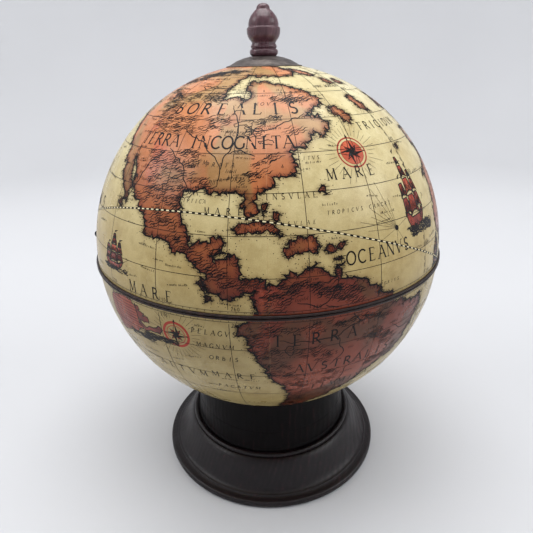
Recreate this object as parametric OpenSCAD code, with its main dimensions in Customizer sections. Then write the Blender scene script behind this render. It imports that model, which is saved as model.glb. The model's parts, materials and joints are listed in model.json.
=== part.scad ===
// Tabletop ice-bucket globe: a papered ball in two hinged halves, turning on a turned wooden stand.
// +Z is up. The origin is on the table, under the middle of the stand. The hinge is at -X, and the
// half with the finial lifts at +X.

/* [Globe] */
// Outside diameter of the papered ball
globe_d = 220; // [190:1:240]
// Thickness of the pressed-board shells
shell_t = 2.6; // [2:0.1:3.4]
// Thickness of the printed paper skin
paper_t = 0.4; // [0.2:0.1:0.6]
// How far the rim beads stand proud of the paper
rim_proud = 1.2; // [0.8:0.1:2]
// Height of each rim bead
rim_h = 1.2; // [1:0.1:2]
// Gap between the two rims when the lid is shut
seam_gap = 0.3; // [0.2:0.1:0.6]

/* [Liners] */
// Wall of the bucket liner and of the lid liner
liner_t = 1.4; // [1:0.1:2]
// Radial space between the shells and the liners
liner_gap = 3.8; // [3.4:0.1:5]

/* [Stand] */
// Widest diameter of the turned foot
foot_d = 160.4; // [150:0.2:180]
// Height of the foot, felt included, up to the top of its bead
foot_h = 27.4; // [24:0.2:32]
// Diameter of the neck at its waist
neck_d = 109; // [104:1:112]
// Height of the ball's centre above the table
centre_h = 162; // [160:1:166]
// Thickness of the felt under the foot
felt_t = 1; // [0.8:0.1:1.6]
// Thickness of the felt ring that the ball turns on
seat_felt_t = 1.2; // [1:0.1:1.6]

/* [Finial] */
// Height of the turned finial
finial_h = 27.4; // [24:0.2:32]
// Diameter of the finial at its widest lip
finial_d = 19.4; // [17:0.2:22]
// Diameter of the metal polar cap
cap_d = 45; // [36:1:52]

/* [Pivot] */
// Diameter of the bolt that the ball turns on
pivot_d = 6; // [5:0.5:6.5]
// Radial running clearance of the bush on the bolt
pivot_clear = 0.05; // [0.02:0.01:0.1]

/* [Hinge] */
// Width of the hinge along its pin
hinge_w = 26; // [22:1:30]
// Diameter of the hinge knuckles
knuckle_d = 5.2; // [4.6:0.2:5.6]
// Diameter of the hinge pin
hinge_pin_d = 2.4; // [2:0.1:2.8]
// Radial running clearance of the knuckles on the pin
pin_clear = 0.05; // [0.02:0.01:0.1]
// Distance of the hinge axis outside the paper
hinge_out = 5.2; // [5:0.1:6]
// Height of the hinge axis above the seam
hinge_up = 5; // [4.5:0.1:6]

/* [Hidden] */

$fn = 96;
eps = 0.01;
big = 400;

// ---- colours
wood_dark = [0.13, 0.07, 0.06];
wood_red = [0.36, 0.14, 0.12];
bronze = [0.28, 0.24, 0.22];
steel = [0.62, 0.63, 0.65];
blued = [0.13, 0.14, 0.17];
board = [0.55, 0.44, 0.32];
map_paper = [0.80, 0.76, 0.59];
ivory = [0.88, 0.85, 0.76];
felt_green = [0.12, 0.22, 0.16];
nylon = [0.85, 0.84, 0.80];

// ---- ball, measured from its own centre
ball_r = globe_d / 2;
board_r = ball_r - paper_t;
hollow_r = board_r - shell_t;
liner_r = hollow_r - liner_gap;
seam = seam_gap / 2;
bead_top = seam + rim_h;
rim_r = ball_r + rim_proud;

// ---- rims and liner flanges
upstand_h = 8;
upstand_r = sqrt(hollow_r * hollow_r - upstand_h * upstand_h) - 0.1;
upstand_t = 2;
rabbet_r = upstand_r - 0.4;
rabbet_h = 1.05;
flange_r = rabbet_r - 0.2;
flange_clear = 0.05;
bead_r = rim_h / 2;
liner_floor = 87.6;
lid_flat = 98;

// ---- pivot, measured from the ball's centre
bolt_r = pivot_d / 2;
bush_r = bolt_r + 3;
bush_flange_r = bush_r + 3;
bush_flange_t = 1;
block_r = 38;
block_top = -97;
washer_t = 1.4;
washer_gap = 0.2;
pivot_nut_r = 5.77;
pivot_nut_t = 5;
bolt_past_nut = 1.4;
bolt_head_r = 6.6;
bolt_head_t = 4;
bolt_head_z = 6;
bolt_hole_r = bolt_r + 0.2;
washer_z = block_top + bush_flange_t + washer_gap;
nut_z = washer_z + washer_t;
bolt_end = nut_z + pivot_nut_t + bolt_past_nut;

// ---- stand, measured from the table
foot_r = foot_d / 2;
foot_z = felt_t * 0.6;
felt_r = foot_r - 6;
neck_r = neck_d / 2;
socket_z = foot_h - 3.4;
socket_r = neck_r + 2.2;
bead_c_r = 2.2;
seat_r = ball_r + 0.3;
dish_r = seat_r + seat_felt_t;
seat_in = 34;
seat_out = 47;
screw_ring_r = 36;
screw_shank_r = 2;
screw_head_r = 4;
screw_z = 8;
screw_len = 34;
screw_cone_h = 2.4;
screw_tip_h = 4.6;
screw_recess_r = 1.5;
screw_recess_h = 1.4;

// ---- finial and polar cap, measured from the ball's centre
cap_r = cap_d / 2;
cap_t = 0.7;
cap_top = ball_r + 3.4;
cap_flat_r = 8.4;
cap_knee_r = cap_r * 0.72;
cap_knee_z = cap_top - 2.3;
cap_rim_z = sqrt(ball_r * ball_r - cap_r * cap_r) + cap_t + 0.05;
finial_r = finial_d / 2;
profile_r = 9.7;
profile_h = 27.4;
stud_r = 2.5;
stud_bore_r = stud_r + 0.1;
stud_top = cap_top + 14;
stud_end = hollow_r - 7.4;
small_washer_r = 7.5;
small_washer_t = 1;
small_washer_z = sqrt(hollow_r * hollow_r - small_washer_r * small_washer_r) - small_washer_t - 0.05;
small_nut_t = 4;
small_nut_r = 4.6;

// ---- hinge, measured from the ball's centre
axis_x = -(ball_r + hinge_out);
knuckle_r = knuckle_d / 2;
pin_r = hinge_pin_d / 2;
knuckles = 5;
knuckle_gap = 0.2;
knuckle_w = (hinge_w - (knuckles - 1) * knuckle_gap) / knuckles;
leaf_t = 1;
leaf_lift = 0.12;
leaf_h = 15;
web_out = axis_x + knuckle_r;
web_in = -(rim_r + 0.3);
upper_leaf_z = hinge_up + 3;
lower_leaf_z = -(bead_top + 1.6);
leaf_screw_y = 8;
leaf_screw_up = 7.5;
upper_screw_z = upper_leaf_z + leaf_screw_up;
lower_screw_z = lower_leaf_z - leaf_screw_up;
leaf_screw_r = 1;
leaf_hole_r = 1.1;
leaf_head_r = 2.1;
leaf_screw_len = 5;
leaf_crown_r = 1.5;
leaf_crown_h = 0.7;

// ---- helpers
function arc(cx, cz, r, a0, a1, n) =
    [for (i = [0:n]) let (a = a0 + (a1 - a0) * i / n) [cx + r * cos(a), cz + r * sin(a)]];

// A moulding's swept double curve from p to q, level at both ends.
function ogee(p, q, n) =
    [for (i = [0:n]) let (t = i / n)
        [p[0] + (q[0] - p[0]) * t, p[1] + (q[1] - p[1]) * (1 - cos(180 * t)) / 2]];

// Points widened and heightened from the profile's own size to the one asked for.
function sized(points, wide, high) = [for (p = points) [p[0] * wide, p[1] * high]];

module at_ball() translate([0, 0, centre_h]) children();

module lathe(points) rotate_extrude() polygon(points);

module spherical_wall(outer, inner) difference() {
    sphere(r = outer);
    sphere(r = inner);
}

// Keeps what lies more than z above the ball's centre.
module above(z) intersection() {
    children();
    translate([0, 0, z]) cylinder(r = ball_r * 1.2, h = ball_r * 1.2);
}

module below() mirror([0, 0, 1]) children();

// Places a child on the ball's outside at the hinge, its +Z along the surface normal.
module on_ball(y, z) {
    tilt = asin(z / ball_r);
    turn = asin(y / (ball_r * cos(tilt)));
    rotate([0, 0, 180 - turn]) rotate([0, 90 - tilt, 0]) translate([0, 0, ball_r]) children();
}

module at_leaf_screws(z) for (side = [-1, 1]) on_ball(side * leaf_screw_y, z) children();

module leaf_screw_holes(z, r) at_leaf_screws(z) translate([0, 0, -8]) cylinder(r = r, h = 16);

// Pressed-board half ball, standing on its rim bead.
module half_shell(pole_hole_r) difference() {
    above(bead_top) spherical_wall(board_r, hollow_r);
    cylinder(r = pole_hole_r, h = big);
}

module half_paper(pole_hole_r) difference() {
    above(bead_top) spherical_wall(ball_r, board_r);
    cylinder(r = pole_hole_r, h = big);
}

// Turned ring: a round bead outside, a rabbet for the liner and an upstand inside the shell.
module half_rim() lathe(concat(
    [[upstand_r - upstand_t, seam + rabbet_h], [rabbet_r, seam + rabbet_h], [rabbet_r, seam]],
    arc(rim_r - bead_r, seam + bead_r, bead_r, -90, 90, 12),
    [[upstand_r, bead_top], [upstand_r, upstand_h], [upstand_r - upstand_t, upstand_h]]));

// Moulded bowl with a flange at its mouth and a flat end, mouth down.
module half_liner(flat_z) {
    difference() {
        above(seam + flange_clear) sphere(r = liner_r);
        sphere(r = liner_r - liner_t);
        translate([0, 0, flat_z]) cylinder(r = liner_r, h = liner_r);
    }
    difference() {
        translate([0, 0, flat_z - liner_t])
            cylinder(r = sqrt(liner_r * liner_r - flat_z * flat_z) + 1, h = liner_t);
        difference() {
            sphere(r = liner_r * 1.2);
            sphere(r = liner_r - liner_t / 2);
        }
    }
    difference() {
        translate([0, 0, seam + flange_clear]) cylinder(r = flange_r, h = rabbet_h - flange_clear);
        translate([0, 0, -1]) cylinder(r = liner_r - liner_t / 2, h = 4);
    }
}

// ---- stand
module base_felt() color(felt_green) cylinder(r = felt_r, h = felt_t);

module base_foot() color(wood_dark) difference() {
    lathe(concat(
        [[0, foot_z], [foot_r - 0.8, foot_z]],
        arc(foot_r - 1.6, foot_z + 1.6, 1.6, -60, 0, 4),
        arc(foot_r - 1.6, foot_z + 2.8, 1.6, 0, 80, 6),
        [[foot_r - 4.4, foot_z + 4.6], [foot_r - 5, foot_z + 5.4]],
        ogee([foot_r - 5.4, foot_z + 5.6], [socket_r + 2.6, foot_h - 4.4], 14),
        arc(socket_r + 2, foot_h - bead_c_r, bead_c_r, -80, 100, 10),
        [[socket_r, foot_h - 0.4], [socket_r, socket_z], [0, socket_z]]));
    translate([0, 0, -eps]) cylinder(r = felt_r + 0.2, h = felt_t + eps);
    cylinder(r = bolt_hole_r, h = foot_h);
    cylinder(r = bolt_head_r + 3, h = bolt_head_z + bolt_head_t);
    at_neck_screws() {
        cylinder(r = screw_head_r + 1, h = screw_z);
        cylinder(r = screw_shank_r + 0.1, h = foot_h);
        translate([0, 0, screw_z - eps])
            cylinder(r1 = screw_head_r + 0.1, r2 = screw_shank_r + 0.1, h = screw_cone_h);
    }
}

module base_neck() color(wood_dark) difference() {
    lathe(concat(
        [[0, socket_z], [socket_r - 0.2, socket_z], [socket_r - 0.2, foot_h - 1]],
        ogee([neck_r + 1.6, foot_h + 2], [neck_r + 0.2, foot_h + 14], 6),
        [[neck_r, foot_h + 20], [neck_r - 0.4, foot_h + 29]],
        arc(neck_r - 3.6, foot_h + 34, 2.6, 0, 90, 6),
        [[0, foot_h + 36.6]]));
    at_ball() sphere(r = dish_r);
    cylinder(r = bolt_hole_r, h = centre_h);
    at_neck_screws() cylinder(r = screw_shank_r, h = screw_z + screw_len + 0.5);
}

module at_neck_screws() for (k = [0:2]) rotate([0, 0, 30 + 120 * k])
    translate([screw_ring_r, 0, 0]) children();

module neck_screws() color(steel) at_neck_screws() translate([0, 0, screw_z]) {
    difference() {
        cylinder(r1 = screw_head_r, r2 = screw_shank_r, h = screw_cone_h);
        translate([0, 0, -eps]) cylinder(r = screw_recess_r, h = screw_recess_h, $fn = 4);
    }
    translate([0, 0, screw_cone_h])
        cylinder(r = screw_shank_r - 0.05, h = screw_len - screw_cone_h - screw_tip_h);
    translate([0, 0, screw_len - screw_tip_h])
        cylinder(r1 = screw_shank_r - 0.05, r2 = 0.4, h = screw_tip_h);
}

module seat_felt() color(felt_green) at_ball() below() difference() {
    spherical_wall(dish_r - 0.02, seat_r);
    translate([0, 0, -big]) cylinder(r = big, h = big);
    cylinder(r = seat_in, h = big);
    difference() {
        cylinder(r = big, h = big);
        translate([0, 0, -1]) cylinder(r = seat_out, h = big + 2);
    }
}

module pivot_bolt() color(steel) {
    translate([0, 0, bolt_head_z]) cylinder(r = bolt_head_r - 0.8, h = bolt_head_t, $fn = 6);
    translate([0, 0, bolt_head_z + bolt_head_t])
        cylinder(r = bolt_r, h = centre_h + bolt_end - bolt_head_z - bolt_head_t);
}

module pivot_washer() color(steel) at_ball() translate([0, 0, washer_z]) difference() {
    cylinder(r = bush_flange_r - 0.5, h = washer_t);
    translate([0, 0, -1]) cylinder(r = bolt_hole_r, h = washer_t + 2);
}

module pivot_nut() color(steel) at_ball() translate([0, 0, nut_z]) difference() {
    cylinder(r = pivot_nut_r, h = pivot_nut_t, $fn = 6);
    translate([0, 0, -1]) cylinder(r = bolt_r + 0.02, h = pivot_nut_t + 2);
}

// ---- lower half, which turns on the stand
module lower_shell() color(board) at_ball() difference() {
    below() half_shell(bush_r + 0.05);
    leaf_screw_holes(lower_screw_z, leaf_screw_r + 0.03);
}

module lower_map() color(map_paper) at_ball() difference() {
    below() half_paper(bush_r + 0.05);
    leaf_screw_holes(lower_screw_z, leaf_screw_r + 0.03);
}

module lower_rim() color(wood_dark) at_ball() below() half_rim();

module bucket_liner() color(ivory) at_ball() below() half_liner(liner_floor);

module pivot_block() color(board) at_ball() difference() {
    intersection() {
        sphere(r = hollow_r - 0.05);
        translate([0, 0, block_top - 20]) cylinder(r = block_r, h = 20);
    }
    below() cylinder(r = bush_r + 0.05, h = big);
}

module pivot_bush() color(nylon) at_ball() difference() {
    union() {
        translate([0, 0, -(ball_r - 0.2)]) cylinder(r = bush_r, h = ball_r - 0.2 + block_top);
        translate([0, 0, block_top]) cylinder(r = bush_flange_r, h = bush_flange_t);
    }
    below() cylinder(r = bolt_r + pivot_clear, h = big);
}

// ---- hinge
// The knuckles whose numbers are in the list, counted along the pin.
module knuckle_row(list, bore_r) for (k = list)
    translate([axis_x, -hinge_w / 2 + k * (knuckle_w + knuckle_gap), hinge_up])
        rotate([-90, 0, 0]) difference() {
            cylinder(r = knuckle_r, h = knuckle_w);
            translate([0, 0, -1]) cylinder(r = bore_r, h = knuckle_w + 2);
        }

// The straps that join those knuckles to their leaf, from height z0 to z1, clear of the pin.
module straps(list, z0, z1) for (k = list) difference() {
    translate([web_out - 0.6, -hinge_w / 2 + k * (knuckle_w + knuckle_gap), z0])
        cube([web_in - web_out + 0.6, knuckle_w, z1 - z0]);
    translate([axis_x, 0, hinge_up]) rotate([90, 0, 0])
        cylinder(r = knuckle_r - 0.3, h = big, center = true);
}

// Plate formed to the ball's curve between two heights.
module formed_leaf(z0, z1) intersection() {
    spherical_wall(ball_r + leaf_lift + leaf_t, ball_r + leaf_lift);
    translate([-ball_r - 20, -hinge_w / 2, z0]) cube([60, hinge_w, z1 - z0]);
}

// The bend between the straps and the formed plate.
module joggle(z0, z1) difference() {
    translate([web_out, -hinge_w / 2, z0]) cube([ball_r, hinge_w, z1 - z0]);
    sphere(r = ball_r + leaf_lift);
    translate([web_out + 6, -hinge_w, z0 - 1]) cube([ball_r, 2 * hinge_w, z1 - z0 + 2]);
}

module hinge_upper_leaf() color(blued) at_ball() difference() {
    union() {
        knuckle_row([1, 3], pin_r + pin_clear);
        straps([1, 3], hinge_up, upper_leaf_z + 1);
        joggle(upper_leaf_z, upper_leaf_z + 1);
        formed_leaf(upper_leaf_z, upper_leaf_z + leaf_h);
    }
    leaf_screw_holes(upper_screw_z, leaf_hole_r);
}

module hinge_lower_leaf() color(blued) at_ball() difference() {
    union() {
        knuckle_row([0, 2, 4], pin_r + pin_clear);
        straps([0, 2, 4], lower_leaf_z - 1, hinge_up);
        joggle(lower_leaf_z - 1, lower_leaf_z);
        formed_leaf(lower_leaf_z - leaf_h, lower_leaf_z);
    }
    leaf_screw_holes(lower_screw_z, leaf_hole_r);
}

module leaf_screw() {
    translate([0, 0, leaf_lift + leaf_t]) cylinder(r1 = leaf_head_r, r2 = leaf_crown_r, h = leaf_crown_h);
    translate([0, 0, leaf_lift + leaf_t - leaf_screw_len])
        cylinder(r = leaf_screw_r, h = leaf_screw_len);
}

module hinge_upper_screws() color(blued) at_ball() at_leaf_screws(upper_screw_z) leaf_screw();

module hinge_lower_screws() color(blued) at_ball() at_leaf_screws(lower_screw_z) leaf_screw();

module hinge_pin() color(blued) at_ball() translate([axis_x, 0, hinge_up]) rotate([-90, 0, 0]) {
    translate([0, 0, -hinge_w / 2 - 0.1]) cylinder(r = pin_r, h = hinge_w + 0.2);
    for (side = [0, 1]) mirror([0, 0, side])
        translate([0, 0, hinge_w / 2 + 0.1]) cylinder(r1 = pin_r + 0.5, r2 = pin_r - 0.2, h = 0.8);
}

// ---- lid
module upper_shell() color(board) at_ball() difference() {
    half_shell(stud_bore_r);
    leaf_screw_holes(upper_screw_z, leaf_screw_r + 0.03);
}

module upper_map() color(map_paper) at_ball() difference() {
    half_paper(stud_bore_r);
    leaf_screw_holes(upper_screw_z, leaf_screw_r + 0.03);
}

module upper_rim() color(wood_dark) at_ball() half_rim();

module lid_liner() color(ivory) at_ball() half_liner(lid_flat);

module polar_cap() color(bronze) at_ball() difference() {
    lathe([[0, cap_top], [cap_flat_r, cap_top], [cap_knee_r, cap_knee_z], [cap_r, cap_rim_z],
        [cap_r, cap_rim_z - cap_t], [cap_r - 0.4, cap_rim_z - cap_t],
        [cap_knee_r - 0.2, cap_knee_z - cap_t], [cap_flat_r, cap_top - cap_t],
        [0, cap_top - cap_t]]);
    cylinder(r = stud_bore_r, h = big);
}

// Foot bead, waist, cup with a lip, egg-shaped body and a small button, bottom to top.
module finial() color(wood_red) at_ball() difference() {
    translate([0, 0, cap_top]) lathe(sized(concat(
        [[0, 0], [7, 0]],
        arc(6.2, 2.1, 2.1, -75, 75, 8),
        [[7.4, 4.4], [7.5, 5.2], [7.0, 6.2], [6.4, 7.2], [6.6, 8.6], [7.2, 9.8]],
        [[8.2, 11], [9.2, 12.2], [9.6, 13.2], [profile_r, 14.4], [9.4, 15], [8.8, 15.3]],
        [[8.7, 17], [8.3, 18.8], [7.5, 20.4], [6.4, 22], [4.8, 23.6], [3.8, 24.4]],
        [[3.6, 25.4], [3.1, 26.3], [2.1, 27.1], [0, profile_h]]), finial_r / profile_r,
        finial_h / profile_h));
    translate([0, 0, cap_top - 1]) cylinder(r = stud_bore_r, h = stud_top - cap_top + 1.5);
}

module finial_stud() color(steel) at_ball() translate([0, 0, stud_end])
    cylinder(r = stud_r, h = stud_top - stud_end);

module finial_washer() color(steel) at_ball() translate([0, 0, small_washer_z]) difference() {
    cylinder(r = small_washer_r, h = small_washer_t);
    translate([0, 0, -1]) cylinder(r = stud_bore_r, h = small_washer_t + 2);
}

module finial_nut() color(steel) at_ball() translate([0, 0, small_washer_z - small_nut_t])
    difference() {
        cylinder(r = small_nut_r, h = small_nut_t, $fn = 6);
        translate([0, 0, -1]) cylinder(r = stud_r + 0.02, h = small_nut_t + 2);
    }

base_felt();
base_foot();
base_neck();
neck_screws();
seat_felt();
pivot_bolt();
pivot_washer();
pivot_nut();
lower_shell();
lower_map();
lower_rim();
bucket_liner();
pivot_block();
pivot_bush();
hinge_lower_leaf();
hinge_lower_screws();
hinge_pin();
upper_shell();
upper_map();
upper_rim();
lid_liner();
polar_cap();
finial();
finial_stud();
finial_washer();
finial_nut();
hinge_upper_leaf();
hinge_upper_screws();
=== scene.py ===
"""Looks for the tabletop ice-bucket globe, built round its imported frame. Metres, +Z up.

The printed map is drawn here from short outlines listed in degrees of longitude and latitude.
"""

import json
import math
import random

import bpy
import numpy as np
from mathutils import Matrix, Vector, kdtree, noise
from mathutils.geometry import delaunay_2d_cdt


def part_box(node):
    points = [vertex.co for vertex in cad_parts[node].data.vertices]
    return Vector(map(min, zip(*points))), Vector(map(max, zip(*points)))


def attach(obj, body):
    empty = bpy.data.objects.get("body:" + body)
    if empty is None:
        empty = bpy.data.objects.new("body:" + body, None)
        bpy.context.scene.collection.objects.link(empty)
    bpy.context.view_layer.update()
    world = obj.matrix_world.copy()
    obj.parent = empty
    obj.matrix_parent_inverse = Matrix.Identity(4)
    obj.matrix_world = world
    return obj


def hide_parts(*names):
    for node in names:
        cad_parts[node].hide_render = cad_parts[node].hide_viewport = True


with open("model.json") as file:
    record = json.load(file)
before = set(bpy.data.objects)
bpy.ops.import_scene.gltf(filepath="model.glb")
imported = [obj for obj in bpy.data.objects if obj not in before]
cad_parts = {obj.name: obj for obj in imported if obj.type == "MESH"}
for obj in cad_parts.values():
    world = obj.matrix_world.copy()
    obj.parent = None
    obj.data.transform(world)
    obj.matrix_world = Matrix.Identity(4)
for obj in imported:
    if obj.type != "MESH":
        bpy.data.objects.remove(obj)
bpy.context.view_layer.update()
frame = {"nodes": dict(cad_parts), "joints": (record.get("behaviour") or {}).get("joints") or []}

MM = 0.001
CENTRE = Vector(next(joint["pos_m"] for joint in frame["joints"] if joint["name"] == "globe_spin"))
BALL_R = round(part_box("upper_map")[1].x, 3)
PAPER = 0.4 * MM
SEED = 7
COAST_SEED = 9
noise.seed_set(COAST_SEED)  # left alone, mathutils seeds its noise from the clock


# ---------------------------------------------------------------- shader graphs
def rgb(red, green, blue):
    """A colour given as 0 to 255 screen values, as linear light."""
    return tuple((c / 255) ** 2.2 for c in (red, green, blue)) + (1.0,)


class Graph:
    """A node material, with short calls for the nodes that these finishes use."""

    def __init__(self, name, **shader):
        self.material = bpy.data.materials.new(name)
        self.material.use_nodes = True
        self.tree = self.material.node_tree
        self.shader = self.tree.nodes["Principled BSDF"]
        for key, value in shader.items():
            self.put(self.shader.inputs[key.replace("_", " ")], value)

    def put(self, socket, value):
        if isinstance(value, bpy.types.NodeSocket):
            self.tree.links.new(value, socket)
        else:
            socket.default_value = value

    def add(self, kind, sockets=(), **settings):
        made = self.tree.nodes.new("ShaderNode" + kind)
        for key, value in settings.items():
            setattr(made, key, value)
        for key, value in dict(sockets).items():
            self.put(made.inputs[key], value)
        return made

    def where(self, stretch=(1, 1, 1), turn=(0, 0, 0)):
        """Places on the object, in metres, stretched and turned for the texture."""
        place = self.add("TexCoord").outputs["Object"]
        return self.add("Mapping", {"Vector": place, "Scale": stretch, "Rotation": turn}).outputs[0]

    def noise(self, scale, detail=3.0, roughness=0.5, distortion=0.0, vector=None):
        sockets = {"Scale": scale, "Detail": detail, "Roughness": roughness, "Distortion": distortion}
        sockets["Vector"] = vector or self.where()
        return self.add("TexNoise", sockets).outputs[0]

    def math(self, operation, a, b=0.0):
        return self.add("Math", {0: a, 1: b}, operation=operation).outputs[0]

    def plus(self, a, b):
        return self.math("ADD", a, b)

    def minus(self, a, b):
        return self.math("SUBTRACT", a, b)

    def times(self, a, b):
        return self.math("MULTIPLY", a, b)

    def xyz(self):
        """The place on the object as three separate values, in metres."""
        return self.add("SeparateXYZ", {0: self.add("TexCoord").outputs["Object"]}).outputs

    def from_shore(self):
        """Distance from the nearest coast, in degrees, as mark_shore stored it."""
        return self.add("Attribute", attribute_name="shore", attribute_type="GEOMETRY").outputs["Fac"]

    def spread(self, value, low, high, to_low=0.0, to_high=1.0):
        sockets = {"Value": value, "From Min": low, "From Max": high}
        sockets.update({"To Min": to_low, "To Max": to_high})
        return self.add("MapRange", sockets, interpolation_type="SMOOTHSTEP").outputs[0]

    def ramp(self, value, *stops):
        made = self.add("ValToRGB", {"Fac": value})
        elements = made.color_ramp.elements
        while len(elements) < len(stops):
            elements.new(0.5)
        for element, (place, colour) in zip(elements, stops):
            element.position = place
            element.color = colour
        return made.outputs[0]

    def mix(self, amount, a, b, blend="MIX"):
        made = self.add("Mix", data_type="RGBA", blend_type=blend)
        for socket, value in zip((0, 6, 7), (amount, a, b)):
            self.put(made.inputs[socket], value)
        return made.outputs[2]

    def bump(self, height, depth):
        return self.add("Bump", {"Height": height, "Distance": depth, "Strength": 1.0}).outputs[0]

    def finish(self, **sockets):
        for key, value in sockets.items():
            self.put(self.shader.inputs[key.replace("_", " ")], value)
        return self.material


# ---------------------------------------------------------------- materials
GORE_ANGLE = math.radians(30)
PITH = (0.07, 0.03, 0.0)  # set off the turning axis, so that the growth rings show as arcs
VIEW_TURN = 7.0  # how far round from -Y, towards +X, the photograph's viewpoint stands
FACING = -78.0 - VIEW_TURN  # longitude at -Y; a seam between two gores runs along -78, at the viewer
COAST_TURN = 83.0  # what is added to a longitude where the coasts' noise is read
SPIN_MARKS = 9000.0  # radians of the spinning marks' ripple in each metre of the cap's radius
LAND_SHADE = rgb(112, 40, 32)


def turn_from_view(g):
    """Angle round the ball from the meridian that faces the photograph's viewpoint, in radians."""
    place = g.xyz()
    turn = g.math("ARCTAN2", place[0], g.times(place[1], -1.0))
    return g.minus(turn, math.radians(VIEW_TURN))


def gore_seam(g, width):
    """1 along the seams between the twelve printed gores, and 0 elsewhere."""
    turn = turn_from_view(g)
    cells = g.math("ROUND", g.math("DIVIDE", turn, GORE_ANGLE))
    off = g.math("ABSOLUTE", g.minus(turn, g.times(cells, GORE_ANGLE)))
    near = g.times(off, BALL_R)
    return g.spread(near, 0.0, width, 1.0, 0.0)


def map_paper(name, tint):
    """Printed paper under varnish, with light and shade painted over it by height on the ball. tint(g) gives
    the printed colour.
    """
    g = Graph(name, Specular_IOR_Level=0.24, Coat_Weight=0.14, Coat_Roughness=0.16)
    colour = tint(g)
    grain = g.noise(2600, 2.0)
    mottle = g.noise(130, 4.0, 0.6)
    stain = g.noise(28, 5.0, 0.62)
    colour = g.mix(g.spread(mottle, 0.35, 0.75, 0.0, 0.32), colour, rgb(176, 156, 104), "MULTIPLY")
    colour = g.mix(g.spread(stain, 0.45, 0.8, 0.0, 0.4), colour, rgb(196, 170, 116), "MULTIPLY")
    colour = g.mix(g.spread(grain, 0.3, 0.75, 0.0, 0.16), colour, rgb(120, 100, 66), "MULTIPLY")
    seam = gore_seam(g, 0.5 * MM)
    colour = g.mix(g.times(seam, 0.12), colour, rgb(226, 190, 150))
    # Painted light and shade by height on the ball: lightest towards the top, where the overhead light falls,
    # darkest just under the seam, where the rim shades the paper, and a little lighter again towards the
    # bottom.
    painted_light_by_height = g.ramp(height_on_ball(g), (0.15, rgb(208, 198, 180)), (0.42, rgb(180, 168, 144)),
                  (0.6, rgb(212, 199, 172)), (0.75, rgb(236, 231, 221)), (0.92, rgb(255, 255, 255)))
    colour = g.mix(1.0, colour, painted_light_by_height, "MULTIPLY")
    height = g.minus(g.times(mottle, 0.35), g.times(seam, 0.5))
    normal = g.bump(g.plus(height, g.times(grain, 0.08)), 0.09 * MM)
    rough = g.spread(g.noise(55, 4.0), 0.3, 0.7, 0.25, 0.36)
    return g.finish(Base_Color=colour, Normal=normal, Roughness=rough)


def height_on_ball(g):
    """0 at the bottom of the ball and 1 at the top."""
    return g.math("DIVIDE", g.minus(g.xyz()[2], CENTRE.z - BALL_R), 2 * BALL_R)


def sea_tint(g):
    wash = g.ramp(g.noise(17, 3.0), (0.25, rgb(232, 222, 178)), (0.55, rgb(222, 209, 160)),
                  (0.8, rgb(206, 191, 138)))
    return g.mix(g.spread(g.from_shore(), 0.0, 1.6, 0.45, 0.0), wash, rgb(150, 124, 80))


def land_tint(g):
    """Hand-laid watercolour: orange in the north, red-brown at the equator, darker at the coast. Its change
    with height is partly painted light and shade.
    """
    high = g.plus(height_on_ball(g), g.times(g.minus(g.noise(21, 2.0), 0.5), 0.3))
    # The wash and the olive follow height on the ball. This is partly the map's colouring and partly painted
    # light: both are lighter towards the top, where the overhead light falls, and darkest near the seam.
    wash = g.ramp(high, (0.3, rgb(178, 92, 70)), (0.42, rgb(164, 80, 60)), (0.53, rgb(132, 58, 40)),
                  (0.68, rgb(178, 105, 67)), (0.9, rgb(214, 142, 98)))
    olive = g.ramp(high, (0.45, rgb(108, 70, 46)), (0.7, rgb(146, 110, 70)), (0.9, rgb(182, 150, 104)))
    patches = g.noise(26, 2.0, 0.4, 0.6)
    river_band = g.math("ABSOLUTE", g.plus(turn_from_view(g), math.radians(10)))
    river_band = g.spread(river_band, math.radians(4), math.radians(8), 0.16, 0.0)
    patches = g.plus(patches, g.times(river_band, g.spread(height_on_ball(g), 0.66, 0.74)))
    wash = g.mix(g.spread(patches, 0.47, 0.57, 0.0, 0.85), wash, olive)
    rose = g.noise(34, 2.0, 0.4, 0.3, g.where(turn=(0.7, 0.4, 1.1)))
    wash = g.mix(g.spread(rose, 0.58, 0.7, 0.0, 0.5), wash, rgb(196, 88, 70))
    return g.mix(g.spread(g.from_shore(), 0.0, 1.6, 0.6, 0.0), wash, LAND_SHADE)


def paint_tint(g):
    return g.ramp(g.noise(140, 3.0), (0.35, rgb(122, 42, 36)), (0.7, rgb(186, 78, 56)))


def bright_tint(g):
    return g.ramp(g.noise(140, 3.0), (0.35, rgb(196, 84, 64)), (0.7, rgb(222, 116, 86)))


def ink(name, colour, roughness=0.42):
    return Graph(name, Base_Color=colour, Roughness=roughness, Specular_IOR_Level=0.18).material


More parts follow.
